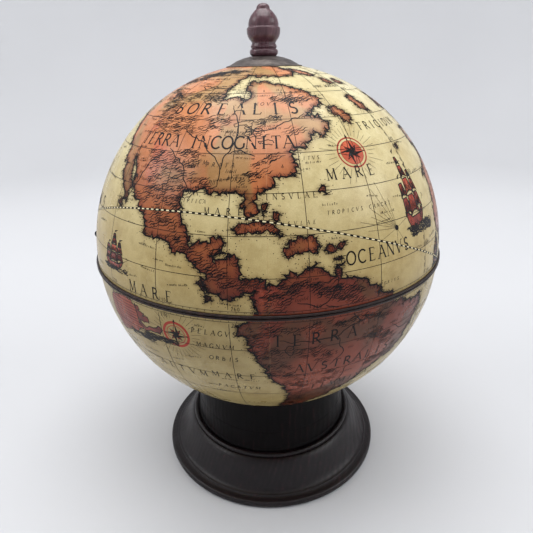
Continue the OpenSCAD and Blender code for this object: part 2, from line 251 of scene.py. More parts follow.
def stained_wood(name, dark, mid, light, gloss, shine=0.5):
    """Stained and waxed turned wood: growth rings, streaky pores and rubbed patches."""
    g = Graph(name, Specular_IOR_Level=shine)
    warp = g.noise(14, 3.0)
    place = g.add("VectorMath", {0: g.where(), 1: PITH}, operation="ADD").outputs[0]
    rings = g.add("TexWave", {"Vector": place, "Scale": 88.0, "Distortion": 5.0, "Detail": 3.0,
                              "Detail Scale": 0.8}, wave_type="RINGS", rings_direction="Z").outputs["Fac"]
    streaks = g.noise(420, 4.0, 0.6, vector=g.where(stretch=(1, 1, 0.08)))
    pores = g.noise(1500, 2.0, 0.5, vector=g.where(stretch=(1, 1, 0.06)))
    rings = g.times(rings, g.spread(g.noise(22, 3.0), 0.3, 0.7, 0.2, 1.0))
    tone = g.plus(g.times(rings, 0.18), g.times(streaks, 0.86))
    colour = g.ramp(tone, (0.3, dark), (0.58, mid), (0.85, light))
    colour = g.mix(g.spread(pores, 0.56, 0.7, 0.0, 0.65), colour, dark)
    colour = g.mix(g.spread(warp, 0.35, 0.7, 0.0, 0.5), colour, dark)
    height = g.plus(g.times(streaks, 0.6), g.times(rings, 1.6))
    normal = g.bump(g.plus(height, pores), 0.06 * MM)
    patches = g.spread(g.noise(60, 4.0), 0.3, 0.7, gloss, gloss + 0.12)
    rough = g.plus(patches, g.times(rings, -0.1))
    return g.finish(Base_Color=colour, Normal=normal, Roughness=rough)


def spun_bronze(name):
    """Dark bronzed sheet with the fine circular marks of spinning."""
    g = Graph(name, Metallic=0.75, Specular_IOR_Level=0.5)
    place = g.xyz()
    radius = g.math("SQRT", g.plus(g.math("POWER", place[0], 2.0), g.math("POWER", place[1], 2.0)))
    rings = g.math("SINE", g.times(radius, SPIN_MARKS))
    mottle = g.noise(240, 5.0, 0.65)
    colour = g.ramp(mottle, (0.3, rgb(68, 62, 60)), (0.6, rgb(98, 91, 88)), (0.8, rgb(134, 126, 118)))
    height = g.plus(g.times(rings, 0.25), mottle)
    return g.finish(Base_Color=colour, Normal=g.bump(height, 0.04 * MM),
                    Roughness=g.spread(mottle, 0.3, 0.7, 0.36, 0.56))


def worn_metal(name, dark, light, metallic, roughness):
    g = Graph(name, Metallic=metallic)
    wear = g.noise(700, 4.0, 0.6)
    colour = g.ramp(wear, (0.4, dark), (0.75, light))
    rough = g.spread(wear, 0.3, 0.7, roughness - 0.06, roughness + 0.12)
    return g.finish(Base_Color=colour, Normal=g.bump(wear, 0.02 * MM), Roughness=rough)


def pressed_board(name):
    g = Graph(name, Roughness=0.85)
    fibre = g.noise(900, 4.0, 0.65)
    colour = g.ramp(fibre, (0.3, rgb(138, 112, 80)), (0.7, rgb(186, 160, 122)))
    return g.finish(Base_Color=colour, Normal=g.bump(fibre, 0.08 * MM))


def moulded_plastic(name, colour, shade, roughness):
    g = Graph(name, Specular_IOR_Level=0.5)
    cloud = g.noise(38, 3.0)
    peel = g.noise(900, 2.0)
    tone = g.ramp(cloud, (0.3, colour), (0.75, shade))
    rough = g.spread(g.noise(120, 4.0), 0.3, 0.7, roughness, roughness + 0.12)
    return g.finish(Base_Color=tone, Normal=g.bump(peel, 0.012 * MM), Roughness=rough)


def felt_cloth(name):
    g = Graph(name, Roughness=0.95, Sheen_Weight=0.5, Sheen_Roughness=0.5)
    fibre = g.noise(1800, 5.0, 0.7, 0.4)
    colour = g.ramp(fibre, (0.3, rgb(26, 52, 38)), (0.75, rgb(58, 96, 72)))
    return g.finish(Base_Color=colour, Normal=g.bump(fibre, 0.25 * MM))


M = {
    "sea": map_paper("sea_paper", sea_tint),
    "land": map_paper("land_paper", land_tint),
    "paint": map_paper("paint_paper", paint_tint),
    "bright": map_paper("bright_paper", bright_tint),
    "ink": ink("black_brown_ink", rgb(20, 13, 13)),
    "red_ink": ink("red_ink", rgb(154, 58, 46)),
    "pale_ink": ink("pale_ink", rgb(226, 212, 168)),
    "foot": stained_wood("foot_wood", rgb(15, 8, 11), rgb(28, 16, 20), rgb(62, 36, 41), 0.4, 0.36),
    # The neck is the same stained wood as the foot, painted darker for the shade it stands in under the ball,
    # and given less shine.
    "neck": stained_wood("neck_wood_painted_shade", rgb(9, 6, 7), rgb(15, 9, 11), rgb(56, 31, 33), 0.42, 0.1),
    "rim": stained_wood("rim_wood", rgb(24, 14, 12), rgb(44, 26, 22), rgb(72, 46, 38), 0.36, 0.3),
    "finial": stained_wood("finial_wood", rgb(70, 44, 50), rgb(100, 70, 77), rgb(152, 116, 122), 0.28),
    "bronze": spun_bronze("spun_bronze"),
    "blued": worn_metal("blued_steel", rgb(30, 32, 40), rgb(78, 82, 92), 0.85, 0.34),
    "zinc": worn_metal("zinc_steel", rgb(150, 152, 156), rgb(196, 198, 200), 1.0, 0.32),
    "board": pressed_board("pressed_board"),
    "ivory": moulded_plastic("ivory_plastic", rgb(236, 228, 206), rgb(224, 213, 186), 0.2),
    "nylon": moulded_plastic("nylon", rgb(228, 226, 216), rgb(214, 211, 200), 0.4),
    "felt": felt_cloth("felt"),
}


# ---------------------------------------------------------------- mesh helpers
def new_mesh(name, points, faces, materials, body, replaced=(), sharp=35):
    """A smooth-shaded piece that rides on a body and stands for the CAD nodes in replaced."""
    mesh = bpy.data.meshes.new(name)
    mesh.from_pydata([tuple(p) for p in points], [], [tuple(f) for f in faces])
    for material in materials:
        mesh.materials.append(material)
    mesh.polygons.foreach_set("use_smooth", [True] * len(mesh.polygons))
    mesh.validate()
    mesh.update()
    if sharp:
        mesh.set_sharp_from_angle(angle=math.radians(sharp))
    piece = bpy.data.objects.new(name, mesh)
    bpy.context.scene.collection.objects.link(piece)
    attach(piece, body)
    if replaced:
        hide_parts(*replaced)
    return piece


def rounded(profile, radius, steps=3, closed=False):
    """The profile with each corner eased over up to radius."""
    result = []
    count = len(profile)
    for i, here in enumerate(profile):
        here = Vector(here)
        if not closed and i in (0, count - 1):
            result.append(tuple(here))
            continue
        before, after = Vector(profile[i - 1]), Vector(profile[(i + 1) % count])
        reach_in = min(radius, (before - here).length * 0.45)
        reach_out = min(radius, (after - here).length * 0.45)
        first = here + (before - here).normalized() * reach_in
        last = here + (after - here).normalized() * reach_out
        for k in range(steps + 1):
            t = k / steps
            result.append(tuple(first * (1 - t) ** 2 + here * (2 * t * (1 - t)) + last * t ** 2))
    return result


def bow(cx, cy, rx, ry, start, end, steps=9):
    """Points of an elliptical arc, angles in degrees."""
    angles = [math.radians(start + (end - start) * k / steps) for k in range(steps + 1)]
    return [(cx + rx * math.cos(a), cy + ry * math.sin(a)) for a in angles]


def arc(cx, cz, radius, start, end, steps):
    return bow(cx, cz, radius, radius, start, end, steps)


def lathe(profile, segments=180, closed=False):
    """Vertices and faces of a profile in (radius, height) turned round Z; ends on the axis close it."""
    points, faces, rows = [], [], []
    for r, z in profile:
        if r < 1e-7:
            rows.append([len(points)] * segments)
            points.append((0, 0, z))
        else:
            rows.append(range(len(points), len(points) + segments))
            turns = [2 * math.pi * k / segments for k in range(segments)]
            points += [(r * math.cos(t), r * math.sin(t), z) for t in turns]
    pairs = list(zip(rows, rows[1:])) + ([(rows[-1], rows[0])] if closed else [])
    for low, high in pairs:
        for k in range(segments):
            n = (k + 1) % segments
            face = []
            for v in (low[k], low[n], high[n], high[k]):
                if v not in face:
                    face.append(v)
            if len(face) > 2:
                faces.append(face)
    return points, faces


def turned(name, profile, material, body, replaced, segments=180, closed=False, at=0.0, sharp=35):
    """A lathe piece from a profile in millimetres, its zero height at `at` metres."""
    points, faces = lathe(profile, segments, closed)
    points = [(x * MM, y * MM, z * MM + at) for x, y, z in points]
    return new_mesh(name, points, faces, [material], body, replaced, sharp)


# ---------------------------------------------------------------- the map: outlines in degrees
AMERICAS = [
    (-172, 66), (-170, 72), (-160, 78), (-130, 81), (-100, 81), (-75, 79), (-60, 77), (-52, 74),
    (-56, 70.5), (-62, 69.5), (-70, 69), (-78, 68.5), (-84, 69), (-88, 71), (-93, 69), (-95, 66),
    (-96, 63.5), (-98, 60), (-98.5, 57.5), (-95, 58), (-91, 58.5), (-89, 57.5), (-87, 56.5),
    (-85.5, 58), (-86.5, 61), (-85.5, 64), (-85, 66.5), (-78, 66.5), (-70, 65), (-62, 62.5),
    (-56, 60), (-51, 57.5), (-52, 55), (-55, 53.5), (-58, 52), (-62, 51.3), (-59, 50.5), (-57, 51),
    (-55.5, 49), (-53.5, 47.5), (-56, 46), (-58, 44.5), (-60, 45.6), (-61.5, 44), (-64, 43),
    (-67, 42), (-70, 40.5), (-69.5, 38), (-69.5, 35.5), (-71, 34), (-75, 33), (-78.5, 31),
    (-80, 30), (-81, 28.5), (-81, 26), (-82.5, 24.5), (-84, 26), (-85, 29), (-88, 29.5), (-92, 31),
    (-95, 30.5), (-100, 29.5), (-101.5, 28.5), (-102, 25), (-101, 21), (-98, 18), (-95, 17.5),
    (-92.5, 18.5), (-91.5, 19.5), (-89, 19.5), (-89.5, 17), (-89, 15.5), (-92.5, 14.8), (-92, 14),
    (-89, 13.8), (-88, 14.6), (-86.5, 15.3), (-84.5, 15), (-84, 13.5), (-85, 11.5), (-84.5, 10.5),
    (-82.5, 10.8), (-80, 10), (-77.5, 8.8), (-75.5, 10), (-72.5, 11), (-69.5, 12), (-68, 11),
    (-65.5, 12), (-63, 10.5), (-61, 10.8), (-59.5, 9.5), (-56, 8), (-52, 6), (-49.5, 5.5),
    (-47.5, 3), (-46.5, 1.5), (-43.5, -0.5), (-42.5, -1.8), (-41, -1), (-38, -2), (-34, -3),
    (-30, -4.5), (-28.5, -7), (-31, -12), (-33, -17), (-36, -22), (-42, -24), (-46, -27),
    (-50, -32), (-55, -35), (-58, -38), (-62, -42), (-65, -48), (-68, -53), (-72, -52), (-74, -46),
    (-73, -38), (-72.5, -30), (-74.5, -24.5), (-78.5, -20.5), (-81, -14.5), (-83.5, -8.5),
    (-85.5, -4.5), (-85, -2), (-80.5, 0), (-81, 3.5), (-82.3, 6), (-81, 7.6), (-84, 5), (-87, 4.5),
    (-92, 5.5), (-93.5, 7.5), (-95, 11), (-97.5, 13), (-100, 15.5), (-103, 16.5), (-108, 17),
    (-112, 19.5), (-115, 22.5), (-117, 26), (-119.5, 28.5), (-123, 32.5), (-127.5, 37),
    (-125.3, 32), (-123.8, 29), (-123, 26.5), (-123.7, 25.3), (-126, 27), (-129, 29.5),
    (-131.5, 32), (-134, 35), (-138, 40), (-143, 45), (-149, 50), (-156, 55), (-163, 58),
    (-169, 62)]
EURASIA = [
    (-9, 37), (-9, 43), (-2, 43), (-1, 46), (-4, 48), (2, 51), (8, 54), (8, 57), (11, 54), (20, 55),
    (23, 59), (29, 60), (22, 61), (25, 65), (21, 65), (17, 61), (18, 59), (15, 56), (12, 56),
    (10, 59), (5, 59), (5, 62), (12, 66), (20, 70), (28, 71), (40, 67), (34, 66), (40, 64),
    (48, 68), (60, 69), (72, 72), (85, 73), (100, 76), (113, 74), (130, 72), (150, 71), (165, 69),
    (177, 68), (184, 65), (178, 62), (170, 60), (162, 58), (159, 52), (155, 57), (158, 61),
    (149, 59), (141, 58), (137, 54), (141, 50), (134, 43), (128, 41), (129, 36), (126, 35),
    (125, 39), (121, 40), (118, 39), (122, 36), (120, 33), (122, 30), (118, 24), (110, 21),
    (108, 18), (109, 13), (105, 9), (103, 11), (100, 14), (100, 9), (104, 3), (101, 3), (98, 9),
    (98, 15), (94, 17), (91, 22), (87, 21), (81, 16), (80, 11), (77, 8), (74, 15), (72, 21),
    (67, 24), (58, 25), (55, 27), (50, 30), (48, 30), (51, 25), (56, 25), (59, 22), (52, 16),
    (45, 13), (42, 16), (37, 24), (34, 29), (34, 31), (36, 36), (30, 37), (27, 38), (27, 41),
    (33, 42), (41, 42), (38, 46), (33, 46), (30, 45), (28, 42), (24, 40), (22, 37), (19, 42),
    (13, 45), (17, 41), (16, 38), (12, 42), (9, 44), (3, 43), (0, 39), (-2, 37), (-6, 36)]
AFRICA = [
    (-6, 35), (3, 37), (10, 37), (11, 34), (20, 31), (25, 32), (32, 31), (34, 28), (37, 21),
    (39, 15), (43, 12), (51, 12), (47, 4), (41, -3), (40, -11), (35, -19), (33, -27), (27, -34),
    (19, -34), (15, -27), (12, -17), (13, -7), (9, 1), (9, 4), (4, 6), (-4, 5), (-8, 4.5),
    (-13, 9), (-17, 14), (-16, 20), (-13, 27), (-9, 32)]
AUSTRALIA = [
    (114, -22), (122, -18), (129, -15), (136, -12), (137, -17), (142, -11), (146, -19),
    (153, -26), (150, -37), (140, -38), (135, -33), (124, -33), (115, -34)]
SOUTH_LAND = [(lon, -68 + 4 * math.sin(math.radians(lon * 3))) for lon in range(-180, 180, 12)]
ISLANDS = [
    [(-87, 22), (-84, 23), (-80, 23.5), (-76.5, 22.5), (-74, 20.3), (-78.5, 20.5), (-81, 21.3),
     (-85, 20.6)],
    [(-74.5, 16.8), (-73, 18.5), (-70, 19.2), (-66.5, 19.7), (-64.5, 17), (-66.5, 15.5),
     (-70, 16.3), (-73.5, 15.3)],
    [(-63.5, 16.4), (-62.5, 17.6), (-58.5, 17.8), (-59.5, 16.4), (-61.5, 15.8)],
    [(-61.3, 14.2), (-60, 15), (-59, 14.4), (-60, 13.6)],
    [(-61.2, 12.2), (-60.2, 13.1), (-59.2, 12.2), (-60.3, 11.4)],
    [(-50, 54.5), (-46.5, 54), (-43.5, 51.5), (-41.5, 50.3), (-43, 48), (-45.5, 48.2),
     (-47.5, 50.5), (-50.5, 52)],
    [(-80, 26.5), (-78.8, 27.2), (-78.2, 25.8), (-79.2, 24.8)],
    [(-76.6, 24.8), (-75.4, 25.2), (-75, 23.6), (-76, 23.4)],
    [(-63.2, 30.8), (-62, 30.8), (-61.4, 29.6), (-62.8, 29.8)],
    [(-95.6, 8.6), (-94.3, 9), (-93.4, 6.6), (-94.4, 6.4)],
    [(-93.6, 5.4), (-92, 5.2), (-91.6, 4), (-93.2, 3.8)],
    [(-127.4, 24.6), (-126, 25), (-125, 23.2), (-126.6, 23)],
    [(-58, 75), (-48, 75.5), (-40, 73), (-35, 69), (-38, 68), (-45, 70), (-52, 72)],
    [(-33, 58), (-29.5, 58.6), (-25.5, 53.6), (-26, 51), (-30, 51.6), (-32.5, 54.5)],
    [(-36, 66.5), (-31, 66.8), (-29, 64), (-33, 63.6)],
    [(-24, 64), (-20, 66.5), (-14, 65.5), (-15, 63.8), (-20, 63.2)],
    [(-5.5, 50), (-3, 50.6), (1, 51), (1.6, 53), (-1, 54.5), (-2, 57.5), (-5.5, 58.6), (-5, 55),
     (-3, 54), (-4.8, 52.4)],
    [(-10, 52), (-6.2, 52.2), (-6, 55), (-8.5, 55.2), (-9.6, 53.6)],
    [(10, 76), (18, 77), (24, 80), (14, 80)],
    [(52, 71), (56, 74), (66, 77), (58, 72)],
    [(8.5, 39), (9.5, 41), (9.2, 39)], [(12.5, 37.8), (15.5, 38.2), (15, 36.8)],
    [(23.5, 35.5), (26.2, 35.3), (25, 34.8)], [(32.5, 35), (34.2, 35.5), (33.6, 34.6)],
    [(44, -25), (47, -25), (50, -15.5), (49, -12), (44.5, -17)],
    [(80, 6.4), (82, 7), (81, 9), (80, 9.6)],
    [(95, 5.5), (99, 3), (103, -0.8), (106, -5.5), (102, -4.4), (98.5, 0.8)],
    [(109, 1), (113, 3), (117, 7), (119, 5), (117.6, 1.4), (116, -3.8), (111, -3)],
    [(105.5, -6.4), (110, -6.6), (114, -7.2), (113.6, -8.6), (108, -7.8)],
    [(119.5, -5), (119, -1), (121, 1.2), (125, 1.4), (121, -0.8), (123, -4.6), (121, -2.6)],
    [(120, 14), (120.4, 18.4), (122.4, 18.2), (122, 14.6), (124, 12.6), (122.4, 12.8)],
    [(122, 7.4), (125, 9.6), (126.4, 7), (124, 6)],
    [(130, 31.6), (131, 34.4), (136, 36), (139.4, 38.2), (140.6, 41), (142, 39.4), (140.6, 35.4),
     (136, 33.8), (132, 33)],
    [(140, 42), (142, 45), (145, 43.6), (142.6, 42.4)],
    [(131, -1), (138, -2), (146, -6), (150, -10), (143, -9), (138, -8), (133, -4)],
    [(144.6, -41), (148, -41), (147, -43.6)],
    [(167, -46), (171.6, -42.4), (174, -41.4), (171, -45), (168.4, -46.8)],
    [(173, -35), (176, -37.4), (178.4, -38), (175.4, -41.4), (174, -38.8)],
    [(-178, 52), (-173, 53), (-170, 51.6), (-175, 50.8)],
    [(-151, 21), (-148, 22), (-147, 20), (-149.6, 19.4)],
    [(-160, -8), (-157, -7), (-156, -10), (-159, -10.6)],
    [(-168, 8), (-165, 9.4), (-163.6, 7), (-166, 6.4)],
    [(178, 13), (181, 14.4), (182, 12), (179.6, 11)],
    [(150, 14), (151.4, 17), (152.4, 14.6)], [(72, -8), (74, -6), (74.4, -9)],
    [(56, -20), (58.6, -19.6), (57.4, -22)], [(-16.5, 28.6), (-14, 29), (-14.6, 27.6)],
    [(-24, 16.6), (-22, 16.8), (-22.6, 15)], [(-28, 39), (-25.6, 38.8), (-26.6, 37.8)]]


def printed_at(lon, lat):
    """Unit vector from the ball's centre to a place on the map."""
    turn, rise = math.radians(lon - FACING), math.radians(lat)
    return Vector((math.cos(rise) * math.sin(turn), -math.cos(rise) * math.cos(turn), math.sin(rise)))


def fixed_at(lon, lat):
    """Unit vector for reading the coasts' noise, the same whichever way the map faces."""
    return printed_at(lon + FACING + COAST_TURN, lat)


def printed_array(path):
    turn, rise = np.radians(path[:, 0] - FACING), np.radians(path[:, 1])
    return np.stack([np.cos(rise) * np.sin(turn), -np.cos(rise) * np.cos(turn), np.sin(rise)], 1)


def ragged(ring, step=0.4, wander=1.0):
    """A coast drawn through the ring's points, with bays and heads worked out by noise."""
    result = []
    for (lon0, lat0), (lon1, lat1) in zip(ring, ring[1:] + ring[:1]):
        if lon1 < lon0 - 180:
            lon1 += 360
        shrink = max(0.15, math.cos(math.radians((lat0 + lat1) / 2)))
        span = math.hypot((lon1 - lon0) * shrink, lat1 - lat0)
        count = max(1, round(span / step))
        for k in range(count):
            lon, lat = lon0 + (lon1 - lon0) * k / count, lat0 + (lat1 - lat0) * k / count
            place = fixed_at(lon, lat)
            push = Vector()
            for size, depth in ((10.0, 1.2), (26.0, 1.2), (64.0, 1.3), (130.0, 0.9)):
                push += noise.noise_vector(place * size + Vector((3.1, 8.7, 1.3))) * depth
            result.append((lon + push.x * wander / shrink, lat + push.y * wander))
    return result


def local_shape(lon, lat, points, size=1.0, turn=0.0, wide=1.0):
    """Points of a small figure, in degrees of arc east and north of a place, as longitude and latitude."""
    c, s = math.cos(math.radians(turn)), math.sin(math.radians(turn))
    shrink = math.cos(math.radians(lat))
    placed = []
    for u, v in points:
        u, v = u * size * wide, v * size
        placed.append((lon + (u * c - v * s) / shrink, lat + u * s + v * c))
    return placed


def clockwise(ring):
    return sum(a[0] * b[1] - b[0] * a[1] for a, b in zip(ring, ring[1:] + ring[:1])) <= 0


def circle(radius, steps=28):
    turns = [2 * math.pi * k / steps for k in range(steps)]
    return [(radius * math.cos(t), radius * math.sin(t)) for t in turns]


# ---------------------------------------------------------------- the map: printed marks
SEAM_GAP = 1.0  # degrees of latitude either side of the equator that the rims cover
INK_LIFT = 0.03 * MM


class Print:
    """Flat printed marks of one ink, gathered into one mesh for each half of the ball."""

    def __init__(self, name, material, layer=1):
        self.name, self.material = name, material
        self.radius = BALL_R + INK_LIFT * layer
        self.halves = {"upper": ([], []), "lower": ([], [])}

    def store(self, half, points, faces):
        kept_points, kept_faces = self.halves[half]
        start = sum(len(p) for p in kept_points)
        kept_points.append(points)
        kept_faces.extend([tuple(start + v for v in f) for f in faces])

    def line(self, path, width, taper=0.0):
        """A stroke along a path, width in millimetres; taper thins it towards its ends."""
        path = np.array(path, float)
        runs, current = [], []
        for k, (lon, lat) in enumerate(path):
            if abs(lat) < SEAM_GAP or (current and (lat > 0) != (path[current[-1], 1] > 0)):
                runs.append(current)
                current = []
            if abs(lat) >= SEAM_GAP:
                current.append(k)
        runs.append(current)
        for run in runs:
            if len(run) > 1:
                self.stroke(path[run], width * MM / 2, taper)

    def stroke(self, path, half_width, taper):
        places = printed_array(path)
        along = np.gradient(places, axis=0)
        side = np.cross(places, along)
        side /= np.maximum(np.linalg.norm(side, axis=1), 1e-9)[:, None]
        count = len(places)
        share = np.linspace(-1, 1, count)
        widths = half_width * (1 - taper * share ** 2)
        left = places * self.radius + side * widths[:, None]
        right = places * self.radius - side * widths[:, None]
        faces = [(k, count + k, count + k + 1, k + 1) for k in range(count - 1)]
        half = "upper" if path[0, 1] > 0 else "lower"
        self.store(half, np.concatenate([left, right]), faces)

    def patch(self, outline):
        """A filled shape. Larger ones are cut into small triangles, so that they follow the ball."""
        lat0 = sum(lat for lon, lat in outline) / len(outline)
        if abs(lat0) < SEAM_GAP:
            return
        shrink = math.cos(math.radians(lat0))
        flat = [Vector((lon * shrink, lat)) for lon, lat in outline]
        if clockwise(flat):
            flat.reverse()
        low = [min(p[k] for p in flat) for k in (0, 1)]
        high = [max(p[k] for p in flat) for k in (0, 1)]
        loose = [Vector((low[0] + i, low[1] + j)) for i in range(1, math.ceil(high[0] - low[0]))
                 for j in range(1, math.ceil(high[1] - low[1]))]
        ring = list(range(len(flat)))
        points, _, faces, _, _, owners = delaunay_2d_cdt(flat + loose, [], [ring], 1, 1e-5)
        path = np.array([(p.x / shrink, p.y) for p in points])
        half = "upper" if lat0 > 0 else "lower"
        self.store(half, printed_array(path) * self.radius, [f for f, o in zip(faces, owners) if o])

    def build(self):
        for half, body in (("upper", "lid"), ("lower", "bowl")):
            chunks, faces = self.halves[half]
            if not faces:
                continue
            points = np.concatenate(chunks) + np.array(CENTRE)
            outward = points - np.array(CENTRE)
            index = np.array([f[:3] for f in faces])
            a, b, c = (points[index[:, k]] for k in range(3))
            facing = np.einsum("ij,ij->i", np.cross(b - a, c - a), outward[index[:, 0]])
            faces = [f if ahead > 0 else f[::-1] for f, ahead in zip(faces, facing)]
            new_mesh(f"{half}_{self.name}", points, faces, [self.material], body, sharp=0)


black = Print("print_black", M["ink"], 2)
red = Print("print_red", M["red_ink"], 1)
pale = Print("print_pale", M["pale_ink"], 3)
PAINTED = []  # outlines filled with watercolour, each with its kind


def great_path(lon_lat, step):
    """A path through places with points added every step degrees."""
    result = []
    for (lon0, lat0), (lon1, lat1) in zip(lon_lat, lon_lat[1:]):
        count = max(1, round(math.hypot(lon1 - lon0, lat1 - lat0) / step))
        result += [(lon0 + (lon1 - lon0) * k / count, lat0 + (lat1 - lat0) * k / count)
                   for k in range(count)]
    return result + [lon_lat[-1]]


def graticule():
    for lat in range(-80, 81, 10):
        if lat:
            black.line([(lon, lat) for lon in np.arange(-180, 180.1, 2)], 0.27)
    for lon in range(-168, 192, 20):
        black.line([(lon, lat) for lat in np.arange(-78, 78.1, 2)], 0.28)
    for lat in range(-76, 77, 2):
        black.line([(-28.5, lat), (-28.5, lat + 1.2)], 0.42)


def ecliptic():
    """The sun's yearly path, printed as a ladder of black and white dashes."""
    def lat_at(lon):
        return math.degrees(math.atan(math.tan(math.radians(25)) * math.cos(math.radians(lon + 100))))
    black.line([(lon, lat_at(lon)) for lon in np.arange(-180, 180.1, 1.5)], 1.0)
    for lon in np.arange(-180, 180, 1.8):
        pale.line([(lon + t, lat_at(lon + t)) for t in (0, 0.45, 0.9)], 0.6)


def rose(lon, lat, size, ring_widths, filled):
    """A compass rose: rings, an eight-point star in two tones, and a hub."""
    for share, width in ring_widths:
        ring = local_shape(lon, lat, circle(share) + [(share, 0)], size)
        red.line(ring, width)
    if filled:
        PAINTED.append(("bright", local_shape(lon, lat, circle(0.8), size)))
    for k in range(8):
        turn, reach = 45 * k, (1.0, 0.62)[k % 2]
        waist = 0.21 if k % 2 == 0 else 0.15
        dark = [(0, 0), (waist, waist), (0, reach)]
        bright = [(0, 0), (0, reach), (-waist, waist)]
        black.patch(local_shape(lon, lat, dark, size, turn))
        red.patch(local_shape(lon, lat, bright, size, turn))
        black.line(local_shape(lon, lat, [(0, 0), (-waist, waist), (0, reach)], size, turn), 0.3)
    red.patch(local_shape(lon, lat, circle(0.08, 12), size))
    black.patch(local_shape(lon, lat, [(-0.1, 1.02), (0.1, 1.02), (0, 1.3)], size))


def rhumbs(lon, lat, turns, low, high, rng):
    """Course lines spreading from a point."""
    for turn in turns:
        reach = rng.uniform(low, high)
        black.line(local_shape(lon, lat, [(0.6 * k, 0) for k in range(1, int(reach / 0.6))], 1, turn), 0.14)


HULL = [(-3.0, 0.6), (-2.4, -0.4), (0, -0.7), (2.2, -0.4), (3.0, 0.5), (3.6, 1.9), (2.7, 1.5),
        (1.8, 0.9), (-1.4, 0.9), (-2.3, 1.7), (-3.4, 2.0)]
SAILS = [(-2.2, 1.5, 0.95, 2.3), (-2.1, 4.0, 0.75, 1.9), (0.1, 1.2, 1.35, 2.7), (0.2, 4.1, 1.15, 2.2),
         (0.25, 6.5, 0.85, 1.7), (0.3, 8.4, 0.5, 1.1), (2.3, 1.7, 1.0, 2.2), (2.3, 4.1, 0.8, 1.8),
         (2.3, 6.1, 0.5, 1.1)]  # place of each sail's foot, its half width and its height
BELLY = [(-1.35, -0.08), (-0.95, 0.3), (-0.85, 0.7), (-0.72, 1), (0.72, 1), (0.9, 0.7),
         (1.1, 0.3), (1.35, -0.08), (0.7, 0.12), (0, 0.2), (-0.7, 0.12)]


def ship(lon, lat, size, rng, wide=1.0, lean=0.0):
    """A small three-masted ship under sail on a dark swell, of no particular maker or flag."""
    def place(points):
        return local_shape(lon, lat, points, size, lean, wide)
    PAINTED.append(("paint", place(HULL)))
    black.line(place(HULL + HULL[:1]), 0.7)
    for row in (-0.4, -0.15, 0.1, 0.35, 0.6):
        black.line(place([(-2.4, row), (2.4, row)]), 0.4)
    for x, top in ((-2.1, 6.9), (0.3, 10.4), (2.3, 8.0)):
        black.line(place([(x, 0.8), (x, top)]), 0.5)
        black.line(place([(x, top), (x + 1.0, top + 0.3), (x, top - 0.3)]), 0.5)
        black.line(place([(x, top - 0.8), (x + 2.4, 0.9)]), 0.2)
    black.line(place([(3.0, 1.4), (5.2, 2.9), (2.3, 5.6)]), 0.4)
    for k, (x, foot, half, tall) in enumerate(SAILS):
        belly = [(x + u * half, foot + v * tall) for u, v in BELLY]
        PAINTED.append(("bright" if k % 4 == 3 else "paint", place(belly)))
        black.line(place(belly + belly[:1]), 0.65)
        for j in range(1, 9):
            start = x - half + 2 * half * j / 9
            top = foot + tall * rng.uniform(0.5, 0.95)
            fold = [(start, foot + 0.2), (start - 0.12, (foot + top) / 2), (start + 0.12, top)]
            black.line(place(fold), 0.4, 0.75)
    for _ in range(34):
        u, v = rng.uniform(-4.6, 4.0), rng.uniform(-1.6, -0.3)
        wave = [(u, v), (u + 0.5, v + rng.uniform(0.1, 0.5)), (u + 1.1, v - 0.1), (u + 1.6, v + 0.3)]
        black.line(place(wave), rng.uniform(0.5, 1.0), 0.7)


PANEL = [(-129, -1.7), (-118, -1.7), (-117, -4), (-117.6, -7), (-116.2, -9.5), (-119.5, -11.5),
         (-124, -13.5), (-129, -15), (-131.5, -9), (-130.4, -4)]
FLOURISH = [(-117, -1.9), (-115.4, -2.8), (-116.2, -3.8), (-113.8, -4.2), (-115, -5.4), (-112.4, -4.8),
            (-112.6, -6.6), (-114.6, -7.2), (-117.2, -6.4)]
RIBBON = [(-117.5, -8.2), (-114.6, -9.8), (-111.5, -9.3), (-109.4, -9.6), (-108, -8), (-109, -6.6),
          (-110, -7.7), (-112, -7.9), (-114.4, -8.3), (-116.6, -6.6)]


def scroll_panel(rng):
    """A striped cloth panel with curling ribbons over dark water."""
    for kind, shape in (("bright", PANEL), ("paint", RIBBON), ("paint", FLOURISH)):
        PAINTED.append((kind, ragged(shape, 0.5, 0.4)))
        black.line(PAINTED[-1][1] + PAINTED[-1][1][:1], 0.5)
    for lat in np.arange(-2.6, -14.4, -0.95):
        held = [lon for lon in np.arange(-132, -116, 0.4) if inside(PANEL, lon, lat)]
        black.line([(lon, lat + 0.03 * (lon + 124)) for lon in held], 0.34)
    sea_waves(-118, -12.6, 5, 1.0, rng, 110)
    sea_waves(-110.5, -11, 6, 0.9, rng, 130)


